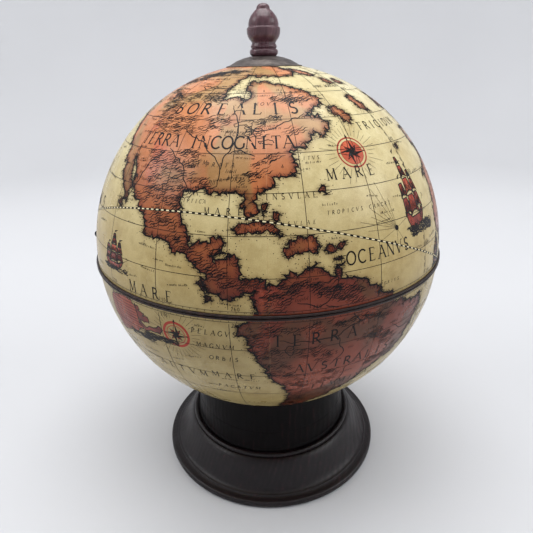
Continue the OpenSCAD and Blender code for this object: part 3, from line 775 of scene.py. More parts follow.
# Letters on a grid one unit tall: "|" strokes are broad, "-" strokes are fine.
STEM = ("|", [(0.1, 0), (0.1, 1)])
GLYPHS = {
    "A": (0.8, [("-", [(0.05, 0), (0.4, 1)]), ("|", [(0.4, 1), (0.76, 0)]),
                ("-", [(0.18, 0.36), (0.62, 0.36)])]),
    "B": (0.62, [STEM, ("-", [(0.1, 1), (0.3, 1)] + bow(0.3, 0.77, 0.2, 0.23, 90, -90)),
                 ("|", [(0.1, 0.54), (0.32, 0.54)] + bow(0.32, 0.27, 0.24, 0.27, 90, -90) + [(0.1, 0)])]),
    "C": (0.8, [("|", bow(0.46, 0.5, 0.38, 0.5, 45, 315, 14))]),
    "D": (0.8, [STEM, ("|", [(0.1, 1), (0.3, 1)] + bow(0.3, 0.5, 0.4, 0.5, 90, -90, 12)
                             + [(0.1, 0)])]),
    "E": (0.6, [STEM, ("-", [(0.1, 1), (0.5, 1), (0.5, 0.88)]),
                ("-", [(0.1, 0.52), (0.42, 0.52)]), ("-", [(0.1, 0), (0.52, 0), (0.54, 0.14)])]),
    "F": (0.58, [STEM, ("-", [(0.1, 1), (0.5, 1), (0.5, 0.86)]),
                 ("-", [(0.1, 0.52), (0.42, 0.52)])]),
    "G": (0.82, [("|", bow(0.46, 0.5, 0.38, 0.5, 45, 320, 14)), ("|", [(0.74, 0.14), (0.74, 0.45)])]),
    "I": (0.26, [("|", [(0.12, 0), (0.12, 1)])]),
    "L": (0.58, [STEM, ("-", [(0.1, 0), (0.5, 0), (0.54, 0.18)])]),
    "M": (0.96, [("-", [(0.1, 0), (0.14, 1)]), ("|", [(0.14, 1), (0.46, 0.06)]),
                 ("-", [(0.46, 0.06), (0.78, 1)]), ("|", [(0.78, 1), (0.84, 0)])]),
    "N": (0.84, [("-", [(0.1, 0), (0.1, 1)]), ("|", [(0.1, 1), (0.7, 0)]), ("-", [(0.7, 0), (0.7, 1)])]),
    "O": (0.88, [("|", bow(0.44, 0.5, 0.38, 0.5, 0, 360, 18))]),
    "P": (0.6, [STEM, ("|", [(0.1, 1), (0.28, 1)] + bow(0.28, 0.74, 0.22, 0.26, 90, -90)
                             + [(0.1, 0.48)])]),
    "Q": (0.88, [("|", bow(0.44, 0.5, 0.38, 0.5, 0, 360, 18)), ("-", [(0.5, 0.2), (0.9, -0.15)])]),
    "R": (0.72, [STEM, ("|", [(0.1, 1), (0.28, 1)] + bow(0.28, 0.75, 0.22, 0.25, 90, -90)
                              + [(0.1, 0.5)]),
                 ("|", [(0.28, 0.5), (0.68, 0)])]),
    "S": (0.56, [("|", bow(0.28, 0.75, 0.2, 0.25, 35, 225, 9) + bow(0.28, 0.26, 0.22, 0.26, 60, -145, 10))]),
    "T": (0.7, [("|", [(0.35, 0), (0.35, 1)]), ("-", [(0.02, 0.86), (0.04, 1), (0.66, 1), (0.68, 0.86)])]),
    "V": (0.78, [("|", [(0.03, 1), (0.39, 0)]), ("-", [(0.39, 0), (0.74, 1)])]),
    "0": (0.6, [("|", bow(0.3, 0.5, 0.24, 0.5, 0, 360, 14))]),
    "1": (0.34, [("|", [(0.16, 0), (0.16, 1)]), ("-", [(0.02, 0.84), (0.16, 1)])]),
    "2": (0.56, [("|", bow(0.27, 0.74, 0.2, 0.26, 160, -30, 8) + [(0.06, 0)]), ("-", [(0.06, 0), (0.5, 0)])]),
    "3": (0.54, [("|", bow(0.24, 0.75, 0.19, 0.25, 140, -80, 8) + bow(0.24, 0.26, 0.22, 0.26, 80, -150, 9))]),
    "4": (0.6, [("-", [(0.42, 1), (0.02, 0.32), (0.56, 0.32)]), ("|", [(0.42, 0), (0.42, 1)])]),
    "5": (0.54, [("-", [(0.46, 1), (0.12, 1), (0.1, 0.58)]),
                 ("|", bow(0.24, 0.3, 0.22, 0.3, 110, -140, 10))]),
    "6": (0.58, [("|", bow(0.5, 0.5, 0.44, 0.55, 115, 180, 5) + bow(0.28, 0.28, 0.22, 0.28, 180, 540, 14))]),
    "7": (0.52, [("-", [(0.04, 1), (0.48, 1)]), ("|", [(0.48, 1), (0.16, 0)])]),
    "8": (0.56, [("|", bow(0.27, 0.76, 0.18, 0.24, -90, 270, 12)),
                 ("|", bow(0.27, 0.26, 0.22, 0.26, 90, 450, 12))]),
}


def letter(char, lon, lat, height, slant=0.0):
    """One engraved capital, height in degrees, with serifs on its upright strokes."""
    broad, fine = height * 0.25, height * 0.11
    width, strokes = GLYPHS[char]
    for kind, path in strokes:
        path = [(u - width / 2 + slant * v, v) for u, v in path]
        black.line(local_shape(lon, lat, path, height), broad if kind == "|" else fine)
        if len(path) > 2:
            continue
        for u, v in path:
            steep = abs(path[1][1] - path[0][1]) > 0.8
            if steep and (abs(v) < 0.02 or abs(v - 1) < 0.02):
                foot = [(u - 0.1, v), (u + 0.1, v)]
                black.line(local_shape(lon, lat, foot, height), fine)


def word(text, lon0, lon1, lat, height, slant=0.0):
    """A generic word spread evenly from lon0 to lon1."""
    for k, char in enumerate(text):
        if char != " ":
            letter(char, lon0 + (lon1 - lon0) * (k / (len(text) - 1)), lat, height, slant)


def caption_ticks(lon, lat, length, height, rng, turn=0.0):
    """A row of fine upright ticks with the rhythm of small engraved writing, which spells nothing."""
    u = 0.0
    while u < length:
        tall = height * rng.choice((0.6, 0.6, 0.65, 1.0))
        lean = rng.uniform(-0.1, 0.2) * height
        black.line(local_shape(lon, lat, [(u, 0), (u + lean, tall)], 1, turn), 0.2)
        if rng.random() < 0.5:
            stroke = [(u, tall * rng.random()), (u + height * 0.4, tall)]
            black.line(local_shape(lon, lat, stroke, 1, turn), 0.15)
        u += height * rng.choice((0.42, 0.5, 0.6, 1.0))


# ---------------------------------------------------------------- the map: filling it in
RIVERS = [
    [(-92, 31), (-92, 36), (-90, 40), (-88, 44), (-88, 48), (-90, 52), (-92, 55)],
    [(-92, 36), (-95, 40), (-99, 43), (-104, 45), (-110, 47)],
    [(-90, 40), (-85, 41), (-81, 40)], [(-100, 29.5), (-103, 34), (-106, 38), (-112, 41)],
    [(-62, 51.3), (-67, 50), (-72, 48.5), (-76, 47), (-81, 46.5), (-86, 48)],
    [(-123.7, 25.3), (-121, 31), (-118, 36), (-114, 40)],
    [(-42.5, -1.8), (-48, -4), (-55, -4), (-60, -7), (-68, -8), (-75, -7)],
    [(-55, -4), (-58, 1), (-64, 3)], [(-60, -7), (-58, -13), (-61, -18)],
    [(-60, 9), (-62, 5), (-66, 2), (-71, 3)], [(-55, -35), (-57, -28), (-55, -20), (-50, -14)],
    [(-31, -12), (-37, -12), (-42, -9)], [(-96, 63.5), (-102, 62), (-110, 63), (-118, 60)],
    [(31, 31), (32, 25), (33, 18), (31, 10), (30, 2)], [(32, 25), (28, 21), (24, 15)],
    [(12, -17), (18, -12), (22, -4), (27, 2)], [(9, 4), (4, 10), (-2, 15), (-9, 14)],
    [(30, 45), (24, 45), (17, 48), (10, 48)], [(38, 46), (40, 51), (36, 55)],
    [(48, 46), (46, 51), (50, 56), (44, 58)], [(67, 24), (71, 30), (74, 34)],
    [(91, 22), (83, 26), (77, 29)], [(121, 31.5), (114, 30), (106, 29), (100, 32)],
    [(118, 38), (112, 36), (107, 38), (101, 36)], [(70, 72), (68, 64), (74, 58), (80, 50)],
    [(84, 73), (88, 64), (93, 55)], [(125, 73), (127, 64), (118, 58), (108, 54)],
    [(141, 53), (133, 49), (124, 52)]]
LAKES = [(-86, 49, 2.4, 1.0), (-84, 46.2, 1.0, 1.7), (-80.5, 45.6, 1.5, 1.1), (-78, 43, 2.0, 0.6),
         (-112, 63, 2.6, 1.0), (-105, 56, 1.2, 0.8), (-73, -10, 1.0, 1.4), (50, 42, 2.6, 4.4),
         (60, 45, 1.8, 1.6), (33, -1, 1.7, 1.7), (30, -7, 0.8, 2.4), (106, 53, 2.6, 0.8)]
CHAINS = [  # lines of hills: places they run through, and how many hills deep
    ([(-116, 27), (-113, 34), (-118, 42), (-124, 50), (-132, 57), (-142, 62)], 3),
    ([(-108, 22), (-106, 28), (-104, 36), (-108, 44), (-116, 52), (-124, 60)], 4),
    ([(-104, 18), (-98, 21), (-95, 28), (-96, 34)], 2), ([(-84, 33), (-79, 38), (-74, 43), (-68, 47)], 2),
    ([(-100, 47), (-95, 51), (-98, 56), (-106, 60)], 3), ([(-76, 55), (-70, 58), (-62, 57)], 3),
    ([(-78, 51), (-72, 52), (-66, 54)], 2), ([(-92, 42), (-84, 44), (-80, 50)], 2),
    ([(-75, 8), (-78, 2), (-81, -5), (-78, -13), (-75, -20), (-70, -28), (-70, -38), (-71, -46)], 3),
    ([(-66, 6), (-58, 4), (-53, 2)], 2), ([(-68, 0), (-64, -2), (-70, -4)], 2),
    ([(-50, -9), (-44, -12), (-40, -18), (-46, -22)], 3), ([(-64, -12), (-60, -20), (-62, -28)], 2),
    ([(-101, 17.5), (-96, 14), (-91, 10.5), (-87, 8), (-83, 9)], 2), ([(-92, 17), (-90, 12)], 2),
    ([(-77, 6), (-70, 9), (-62, 7), (-55, 5)], 3), ([(-62, -2.5), (-52, -3), (-44, -4)], 2),
    ([(-78, -3), (-72, -6), (-66, -12)], 3), ([(-84, 22), (-78, 21.5)], 1), ([(-72, 17.5), (-67, 18)], 1),
    ([(-150, 66), (-135, 70), (-120, 72), (-105, 74)], 3), ([(-8, 32), (0, 34), (8, 35)], 2),
    ([(36, 12), (38, 6), (35, 0), (32, -10), (28, -22)], 3), ([(0, 43), (6, 45.5), (12, 47), (24, 47)], 2),
    ([(42, 42), (50, 37), (60, 36), (70, 35), (80, 32), (92, 29), (100, 30)], 4),
    ([(60, 66), (59, 58), (58, 50)], 2), ([(75, 42), (88, 47), (100, 50), (115, 56), (135, 62)], 4),
    ([(74, 20), (76, 12)], 2), ([(16, 62), (18, 67)], 2), ([(146, -24), (148, -32), (144, -36)], 2),
    ([(118, -24), (128, -22)], 2), ([(104, 24), (110, 27), (116, 29)], 2), ([(12, 16), (20, 18)], 2)]


def inside(ring, lon, lat):
    held = False
    for (lon0, lat0), (lon1, lat1) in zip(ring, ring[1:] + ring[:1]):
        if (lat0 > lat) != (lat1 > lat) and lon < (lon1 - lon0) * (lat - lat0) / (lat1 - lat0) + lon0:
            held = not held
    return held


LANDS = [AMERICAS, EURASIA, AFRICA, AUSTRALIA]


def on_land(lon, lat, margin=0.0):
    turned_lon = (lon + 180) % 360 - 180
    around = [(0, 0), (margin, 0), (-margin, 0), (0, margin), (0, -margin)] if margin else [(0, 0)]
    for ring in LANDS:
        for shift in (0, 360):
            if all(inside(ring, turned_lon + shift + u, lat + v) for u, v in around):
                return True
    return False


def coast(ring, rng, weight=0.75):
    """A ragged coastline with dots and shading strokes out to sea and short strokes inland."""
    seaward = 1 if clockwise(ring) else -1
    black.line(ring + ring[:1], weight)
    for k, (lon, lat) in enumerate(ring):
        (lon0, lat0), (lon1, lat1) = ring[k - 1], ring[(k + 1) % len(ring)]
        shrink = max(0.15, math.cos(math.radians(lat)))
        run = Vector(((lon1 - lon0) * shrink, lat1 - lat0))
        out = Vector((-run.y, run.x)).normalized() * seaward
        for _ in range(2):
            lean, reach = rng.uniform(-0.6, 0.6), rng.uniform(0.4, 1.3)
            ends = [(0, 0), (-out.x * reach + lean * run.x, -out.y * reach + lean * run.y)]
            black.line(local_shape(lon, lat, ends), rng.uniform(0.2, 0.42), 0.5)
        if rng.random() < 0.4:
            far = rng.uniform(1.3, 2.4)
            dot = [(out.x * far - 0.1, out.y * far), (out.x * far + 0.1, out.y * far + 0.05)]
            black.line(local_shape(lon, lat, dot), rng.uniform(0.25, 0.5))
        for _ in range(2):
            reach = rng.uniform(0.3, 1.0)
            along = rng.uniform(-0.35, 0.35)
            u, v = out.x * 0.1 + run.x * along, out.y * 0.1 + run.y * along
            ends = [(u, v), (u + out.x * reach, v + out.y * reach * 0.35)]
            black.line(local_shape(lon, lat, ends), rng.uniform(0.12, 0.3))


def wiggle(path):
    """A river's course through these places."""
    placed = []
    for lon, lat in great_path(path, 0.8):
        push = noise.noise_vector(fixed_at(lon, lat) * 40) * 0.5
        push += noise.noise_vector(fixed_at(lon, lat) * 15)
        placed.append((lon + push.x, lat + push.y))
    return placed


def hill(lon, lat, size, rng):
    """One engraved ridge: a few wavering strokes that climb to the right, the lower ones shorter."""
    turn = rng.uniform(14, 34)
    for k in range(rng.choice((2, 3, 3))):
        start, v = rng.uniform(-1.3, -0.7) + 0.3 * k, -0.55 * k
        length = rng.uniform(1.4, 2.6) - 0.2 * k
        crest = [(start + length * t, v + 0.13 * math.sin(t * 9 + k + turn)) for t in np.linspace(0, 1, 7)]
        black.line(local_shape(lon, lat, crest, size, turn), rng.uniform(0.26, 0.5), 0.7)


def hills(rng):
    for chain, deep in CHAINS:
        for lon, lat in great_path(chain, 1.6):
            for row in range(deep):
                u = (row - (deep - 1) / 2) * 2.1 + rng.uniform(-0.8, 0.8)
                v = rng.uniform(-1.0, 1.0)
                (there, rise), = local_shape(lon, lat, [(u, v)])
                if on_land(there, rise, 0.8) and abs(rise) > 2 and clear_of_words(there, rise):
                    hill(there, rise, rng.uniform(0.95, 1.5), rng)


def scatter(count, rng):
    """Places spread evenly over the ball, short of its poles."""
    edge = math.sin(math.radians(78))
    for _ in range(count):
        lat = math.degrees(math.asin(rng.uniform(-edge, edge)))
        yield rng.uniform(-180, 180), lat


def town(lon, lat):
    black.line(local_shape(lon, lat, circle(0.22, 8) + [(0.22, 0)]), 0.2)
    black.line(local_shape(lon, lat, [(0, 0.2), (0, 0.65)]), 0.22)


def small_writing(rng):
    """Towns, hatching and rows of fine illegible ticks, close on land and sparse at sea."""
    for lon, lat in scatter(4400, rng):
        if abs(lat) < 3 or not clear_of_words(lon, lat):
            continue
        if on_land(lon, lat, 0.6):
            kind = rng.random()
            if kind < 0.3:
                town(lon, lat)
            elif kind < 0.8:
                caption_ticks(lon, lat, rng.uniform(2.2, 5.0), 0.62, rng, rng.uniform(-6, 6))
            else:
                for k in range(4):
                    ends = [(k * 0.42, 0), (k * 0.42 + 0.25, rng.uniform(0.5, 1.0))]
                    black.line(local_shape(lon, lat, ends), 0.3, 0.3)
        elif rng.random() < 0.12 and not on_land(lon + 6, lat):
            caption_ticks(lon, lat, rng.uniform(2.5, 6.0), 0.6, rng, rng.uniform(-8, 8))


def clear_of_words(lon, lat):
    """False where a large word is engraved."""
    for _, lon0, lon1, low, height in BIG_WORDS:
        if lon0 - 2.5 < lon < lon1 + 2.5 and low - 0.5 < lat < low + height + 0.8:
            return False
    return True


BIG_WORDS = [
    ("BOREALIS", -119, -66, 51.9, 3.9), ("TERRA INCOGNITA", -127, -70.5, 41.4, 3.5),
    ("MARE", -59, -45, 32.4, 2.8), ("OCEANVS", -57, -38, 11.6, 3.2), ("MARE", -117, -104, 1.8, 3.0),
    ("TERRA", -76, -56, -8.6, 3.4), ("AVSTRALIS", -70, -41, -19, 3.2), ("FLVMINA", -64, -45, -29, 2.6),
    ("ALTVM", -113, -98, -22.6, 2.3), ("MARE", -94, -83, -21.5, 2.2), ("INSVLAE", -78, -65, 28.6, 1.3),
    ("MARE", -94, -85, 25, 1.5),
    ("FRIGIDVM", -40, -15, 45, 2.4), ("OCEANVS", -172, -140, 20, 3.4), ("MARE", -165, -148, 30, 3.0),
    ("MARE", -160, -142, -14, 3.0), ("OCEANVS", 60, 88, -14, 3.2), ("ORIENS", 84, 110, 42, 3.2),
    ("TERRA", 6, 30, 17, 3.2), ("TERRA", 48, 76, 52, 3.2), ("BOREALIS", 96, 148, 64, 3.0),
    ("AVSTRALIS", 118, 146, -28, 2.6), ("MARE", 140, 160, 26, 3.0), ("ALTVM", -20, 0, -22, 3.0),
    ("OCEANVS", -32, -12, -34, 2.6), ("TERRA INCOGNITA", -150, -96, -69, 3.0),
    ("TERRA INCOGNITA", 20, 76, -69, 3.0), ("OCEANVS", 150, 182, -30, 3.0)]
SMALL_WORDS = [
    ("MARE BOREALE", -48, -30, 62, 1.1), ("INSVLAE", -76, -66, 22.4, 0.9), ("PORTVS", -89, -83, 33, 0.9),
    ("LACVS", -92, -86, 45, 1.0), ("MONTES", -113, -104, 30, 1.0), ("SINVS", -93, -88, 60, 1.0),
    ("LITVS", -68, -62, 38, 0.9), ("TROPICVS CANCRI", -62, -42, 24.2, 0.9),
    ("CIRCVLVS ARCTICVS", -130, -104, 67.2, 0.9), ("LINEA ECLIPTICA", -112, -95, 27.4, 0.9),
    ("PELAGVS", -98, -87, -5.8, 1.5), ("MAGNVM", -97, -88, -10, 1.4), ("ORBIS", -94, -87, -14.2, 1.4),
    ("PACATVM", -94, -82, -27, 1.4), ("PARS", -66, -60, -13.5, 1.1), ("SILVAE", -56, -48, -5.5, 1.1),
    ("FLVMEN", -72, -64, -5.4, 0.9),
    ("PORTVS", -48, -42, 4.4, 0.8), ("SABVLVM", -108, -97, 37, 1.1), ("PRATA", -96, -88, 36.5, 1.1),
    ("NOVA", -82, -74, 55, 1.1), ("ALBA", -70, -62, 59.5, 1.1), ("MONTES", -76, -67, -24.5, 0.9)]


def lettering():
    for entry in BIG_WORDS:
        word(*entry)
    for entry in SMALL_WORDS:
        word(*entry, slant=0.2)
    for lon in range(-168, 180, 20):
        for k, digit in enumerate(str((lon + 348) % 360)):
            letter(digit, lon + 1.0 + k * 0.8, 1.8, 0.9)
            letter(digit, lon + 1.0 + k * 0.8, -2.7, 0.9)
    for lat in range(10, 80, 10):
        for k, digit in enumerate(str(lat)):
            shrink = math.cos(math.radians(lat))
            letter(digit, -28 + (0.5 + k) / shrink, lat + 0.3, 1.1)
            letter(digit, -28 + (0.5 + k) / shrink, -lat + 0.3, 1.1)


def equator_scale():
    """Degree marks along the edge of each half, just above and below the rims."""
    for side in (1, -1):
        black.line([(lon, 1.5 * side) for lon in np.arange(-180, 180.1, 2)], 0.22)
        for lon in range(-180, 180, 2):
            black.line([(lon, 1.05 * side), (lon, 1.5 * side)], 0.24)


ROSES = [  # place, size, rings as share of the size and line width, and whether the rose is filled
    (-49.5, 39, 4.1, [(1.0, 0.75), (0.8, 0.3)], True), (-103.4, -7.8, 3.8, [(1.0, 1.5), (0.74, 0.4)], False),
    (-150, -32, 4.6, [(1.0, 0.9), (0.84, 0.35)], True), (70, -30, 4.8, [(1.0, 1.3), (0.76, 0.4)], False),
    (-12, -12, 4.2, [(1.0, 0.9), (0.84, 0.35)], True), (168, 36, 4.4, [(1.0, 1.2), (0.76, 0.4)], False)]
RHUMB_START = 4.9  # degrees from a rose's middle


def compass_roses(rng):
    for entry in ROSES:
        rose(*entry)
    black.patch(local_shape(-41, 18, circle(0.7, 14)))
    rhumbs(-41, 18, range(98, 176, 11), 7, 17, rng)
    rhumbs(-41, 18, (20, 200, 265, 300), 4, 9, rng)
    for lon, lat, *_ in ROSES:
        rhumbs_ring(lon, lat, rng)


def rhumbs_ring(lon, lat, rng):
    for k in range(32):
        turn = math.radians(11.25 * k)
        length = rng.uniform(6.5, 9.5) - RHUMB_START
        reaches = [RHUMB_START + length * t for t in (0, 0.5, 1)]
        ends = [(math.cos(turn) * reach, math.sin(turn) * reach) for reach in reaches]
        black.line(local_shape(lon, lat, ends), 0.14)


def sea_waves(lon, lat, wide, tall, rng, count):
    """Dark rippled water round a ship."""
    for _ in range(count):
        u, v = rng.uniform(-wide, wide), rng.uniform(-tall, tall)
        ripple = [(u + t, v + 0.16 * math.sin(t * 4.2)) for t in (0, 0.4, 0.8, 1.2, 1.6)]
        black.line(local_shape(lon, lat, ripple), rng.uniform(0.3, 0.7), 0.8)


def ships(rng):
    ship(-30.8, 17.6, 1.9, rng, 0.72, 5)
    ship(-126.2, 6.8, 0.92, rng, 1.6, 3)
    sea_waves(-29.5, 15.6, 6, 1.5, rng, 150)
    for lon, lat, size in ((-160, 6, 1.2), (-150, -22, 1.1), (-18, 2.4, 0.9), (-14, -30, 1.2),
                           (80, -18, 1.2), (64, 8, 0.8), (160, 20, 1.2), (-30, -45, 1.1), (102, -38, 1.2)):
        ship(lon, lat, size, rng)
        sea_waves(lon, lat - size * 1.2, size * 5, size * 0.8, rng, 26)


def draw_map():
    """Draws every printed mark, and returns the ragged land outlines."""
    rng = random.Random(SEED)
    graticule()
    ecliptic()
    equator_scale()
    coasts = []
    for ring in LANDS + [SOUTH_LAND]:
        coasts.append(ragged(ring))
    for ring in ISLANDS:
        coasts.append(ragged(ring, 0.35, 0.7))
    for k, ring in enumerate(coasts):
        coast(ring, rng, 0.85 if k < 5 else 0.65)
    for course in RIVERS:
        black.line(wiggle(course), 0.55, 0.4)
    for lon, lat, wide, tall in LAKES:
        shore = [(wide * u, tall * v) for u, v in circle(1, 18)]
        black.line(ragged(local_shape(lon, lat, shore), 0.5, 0.5), 0.4)
    hills(rng)
    small_writing(rng)
    lettering()
    compass_roses(rng)
    ships(rng)
    scroll_panel(rng)
    return coasts


# ---------------------------------------------------------------- the map: paper skins
GRID = 1.5  # spacing of the skin's own vertices, in degrees
ROW_SHARE = 0.866  # spacing of their rows, as a share of that
EDGE_CLEAR = 0.7  # how far they keep from the skin's edges, in degrees
KINDS = {"land": 1, "paint": 2, "bright": 3}


def flat_place(lon, lat, side):
    """A place on a map of one half that keeps true distances from its pole, in degrees."""
    reach, turn = 90 - side * lat, math.radians(lon - FACING)
    return Vector((reach * math.sin(turn), -reach * math.cos(turn)))


def raised(flat, side):
    """Unit vectors for places on that map."""
    reach = np.radians(np.maximum(np.hypot(flat[:, 0], flat[:, 1]), 1e-9))
    share = np.sin(reach) / np.degrees(reach)
    return np.stack([flat[:, 0] * share, flat[:, 1] * share, side * np.cos(reach)], 1)


def covered(ring, places):
    """True for each place that lies within the closed outline."""
    held = np.zeros(len(places), bool)
    low, high = ring.min(0), ring.max(0)
    near = np.all((places > low) & (places < high), 1)
    x, y = places[near].T
    odd = np.zeros(len(x), bool)
    for (x0, y0), (x1, y1) in zip(ring, np.roll(ring, -1, 0)):
        if y0 != y1:
            odd ^= ((y0 > y) != (y1 > y)) & (x < (x1 - x0) * (y - y0) / (y1 - y0) + x0)
    held[near] = odd
    return held


def skin_net(edge, hole, outlines, side):
    """Triangles of one half's skin: points, faces, and what each face shows (0 sea, 1 land, 2 paint)."""
    points, lines = [], []
    for ring in [circle(edge, 360), circle(hole, 40)] + [ring for _, ring in outlines]:
        start, count = len(points), len(ring)
        lines += [(start + k, start + (k + 1) % count) for k in range(count)]
        points += [Vector(p) for p in ring]
    rows = int(edge / (GRID * ROW_SHARE))
    for j in range(-rows, rows + 1):
        for i in range(-rows, rows + 1):
            place = Vector(((i + 0.5 * (j % 2)) * GRID, j * GRID * ROW_SHARE))
            if hole + EDGE_CLEAR < place.length < edge - EDGE_CLEAR:
                points.append(place)
    made = delaunay_2d_cdt(points, lines, [], 0, 1e-4)
    flat, faces = np.array([tuple(p) for p in made[0]]), np.array(made[2])
    middles = flat[faces].mean(1)
    reach = np.hypot(middles[:, 0], middles[:, 1])
    shows = np.zeros(len(faces), int)
    for kind, ring in outlines:
        held = covered(np.array([tuple(p) for p in ring]), middles)
        shows[held] = np.maximum(shows[held], KINDS[kind])
    kept = (reach < edge * math.cos(math.pi / 360)) & (reach > hole)
    faces, shows = faces[kept], shows[kept]
    return flat, [list(map(int, f)) if side > 0 else list(map(int, f[::-1])) for f in faces], shows.tolist()


def edge_lip(faces):
    """The faces' open edges, each as its two corners."""
    seen = {}
    for face in faces:
        for a, b in zip(face, face[1:] + face[:1]):
            seen[(a, b)] = True
    return [(a, b) for a, b in seen if (b, a) not in seen]


def map_skin(half, body, side, hole_r, coasts):
    """The printed paper of one half, with a hole at its pole and its edges turned in to the paper's depth."""
    low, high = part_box(f"{half}_map")
    bead = low.z - CENTRE.z if side > 0 else CENTRE.z - high.z
    edge = 90 - math.degrees(math.asin(bead / BALL_R))
    hole = math.degrees(math.asin(hole_r * MM / BALL_R))
    outlines = []
    for kind, ring in [("land", c) for c in coasts] + PAINTED:
        if max(side * lat for lon, lat in ring) > 0.5:
            outlines.append((kind, [flat_place(lon, lat, side) for lon, lat in ring]))
    flat, faces, shows = skin_net(edge, hole, outlines, side)
    used = sorted({v for face in faces for v in face})
    renamed = {v: k for k, v in enumerate(used)}
    faces = [[renamed[v] for v in face] for face in faces]
    outward = raised(flat[used], side)
    lip = edge_lip(faces)
    inner = {}
    for a, b in lip:
        for v in (a, b):
            inner.setdefault(v, len(used) + len(inner))
    turned_in = outward[list(inner)]
    points = np.concatenate([outward * BALL_R, turned_in * (BALL_R - PAPER)]) + np.array(CENTRE)
    faces += [[b, a, inner[a], inner[b]] for a, b in lip]
    shows += [0] * len(lip)
    piece = new_mesh(f"{half}_map_print", points, faces,
                     [M["sea"], M["land"], M["paint"], M["bright"]], body,
                     [f"{half}_map"], sharp=0)
    piece.data.polygons.foreach_set("material_index", shows)
    mark_shore(piece.data, coasts)
    normals = np.concatenate([outward, turned_in])
    piece.data.normals_split_custom_set_from_vertices([tuple(n) for n in normals])


def mark_shore(mesh, coasts):
    """Stores each vertex's distance from the nearest coast, in degrees, for the hand colouring."""
    places = [printed_at(lon, lat) for ring in coasts for lon, lat in ring]
    tree = kdtree.KDTree(len(places))
    for k, place in enumerate(places):
        tree.insert(place, k)
    tree.balance()
    far = [math.degrees(tree.find((v.co - CENTRE).normalized())[2]) for v in mesh.vertices]
    mesh.attributes.new("shore", "FLOAT", "POINT").data.foreach_set("value", far)


# ---------------------------------------------------------------- turned and moulded pieces
CENTRE_MM, BALL_MM, DISH_MM = 162, 110, 111.5
UPSTAND_H = 8  # how far each rim's upstand stands from the seam
RIM_SEAT = math.sqrt(107 ** 2 - UPSTAND_H ** 2)  # inside radius of the board shell, that far from the seam
CAP_R = 22.5


def ogee(start, end, steps):
    """A moulding's swept double curve, level at both ends."""
    (r0, z0), (r1, z1) = start, end
    shares = [k / steps for k in range(steps + 1)]
    return [(r0 + (r1 - r0) * t, z0 + (z1 - z0) * (1 - math.cos(math.pi * t)) / 2) for t in shares]


def base_foot():
    recess = [(3.2, 24.0), (3.2, 10.0), (9.6, 10.0), (9.6, 1.0), (74.4, 1.0), (74.4, 0.6)]
    lip = [(79.3, 0.6)] + arc(78.6, 2.2, 1.6, -60, 0, 8) + arc(78.6, 3.4, 1.6, 0, 84, 12)
    cove = [(77.4, 5.1), (75.9, 5.15), (75.3, 5.4), (75.1, 6.0)]
    sweep = ogee((74.7, 6.3), (59.9, 24.2), 40)
    bead = arc(58.9, 25.5, 1.5, -60, 104, 20) + [(57.3, 26.4), (56.8, 24.0)]
    turned("foot_turning", recess + lip + cove + sweep + bead, M["foot"], "stand",
           ["base_foot"], 256, True, sharp=40)


def base_neck():
    collar = [(3.2, 24.0), (56.7, 24.0), (57.1, 26.6), (56.5, 27.8)]
    sweep = ogee((56.2, 28.6), (54.7, 41.4), 20) + [(54.5, 47.4), (54.1, 56.4), (53.6, 60.2)]
    lip = arc(50.9, 61.4, 2.6, 4, 52, 10)
    dish = [(r, CENTRE_MM - math.sqrt(DISH_MM ** 2 - r * r)) for r in np.linspace(52.2, 3.2, 30)]
    turned("neck_turning", collar + sweep + lip + dish, M["neck"], "stand",
           ["base_neck"], 256, True, sharp=40)


def finial():
    foot = [(2.6, 0), (7.0, 0)] + arc(6.2, 2.1, 2.1, -66, 66, 12) + [(7.1, 4.2)]
    waist = [(7.5, 4.5), (7.6, 5.2), (7.35, 5.9), (6.95, 6.5), (6.85, 7.1), (7.3, 7.9)]
    cup = [(8.2, 8.9), (8.9, 10.0), (9.35, 11.2), (9.6, 12.6), (9.7, 14.3), (9.45, 14.95), (8.9, 15.2),
           (8.65, 15.5)]
    egg = [(8.7, 17), (8.3, 18.8), (7.5, 20.4), (6.3, 22), (4.9, 23.5), (3.9, 24.2)]
    button = [(3.75, 24.9), (3.6, 25.6), (3.0, 26.4), (2.0, 27.05), (0, 27.4)]
    stud_bore = [(0, 14.5), (2.6, 14.5)]
    profile = stud_bore + rounded(foot + waist + cup + egg + button, 0.7, 4)
    turned("finial_turning", profile, M["finial"], "lid", ["finial"], 128,
           at=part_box("finial")[0].z, sharp=50)


def polar_cap():
    """Spun metal cap with a raised ring round its flat, a stepped skirt and a rolled edge."""
    top, rim = 113.4, math.sqrt(BALL_MM ** 2 - CAP_R ** 2) + 0.75
    outside = [(2.6, top), (8.2, top), (8.9, top - 0.25), (11.5, top - 0.75), (16.2, top - 2.3),
               (19.8, rim + 0.62), (20.6, rim + 0.2), (21.4, rim + 0.06), (22.3, rim - 0.1),
               (CAP_R, rim - 0.35), (CAP_R, rim - 0.68)]
    inside_face = [(22.1, rim - 0.7), (16.0, top - 3.0), (8.4, top - 0.7), (2.6, top - 0.7)]
    turned("cap_spinning", rounded(outside, 0.5, 4) + inside_face, M["bronze"], "lid",
           ["polar_cap"], 192, True, CENTRE.z, 40)


def ball_rim(half, body, side):
    """One of the two beaded rings that meet at the seam."""
    upstand = RIM_SEAT - 0.1
    ledge = [(upstand - 2, 1.2), (upstand - 0.4, 1.2), (upstand - 0.4, 0.15)]
    bead = arc(110.58, 0.75, 0.6, -90, 90, 16)
    profile = ledge + bead + [(upstand, 1.35), (upstand, UPSTAND_H), (upstand - 2, UPSTAND_H)]
    turned(f"{half}_bead", [(r, z * side) for r, z in profile[::side]], M["rim"], body,
           [f"{half}_rim"], 256, True, CENTRE.z, 40)


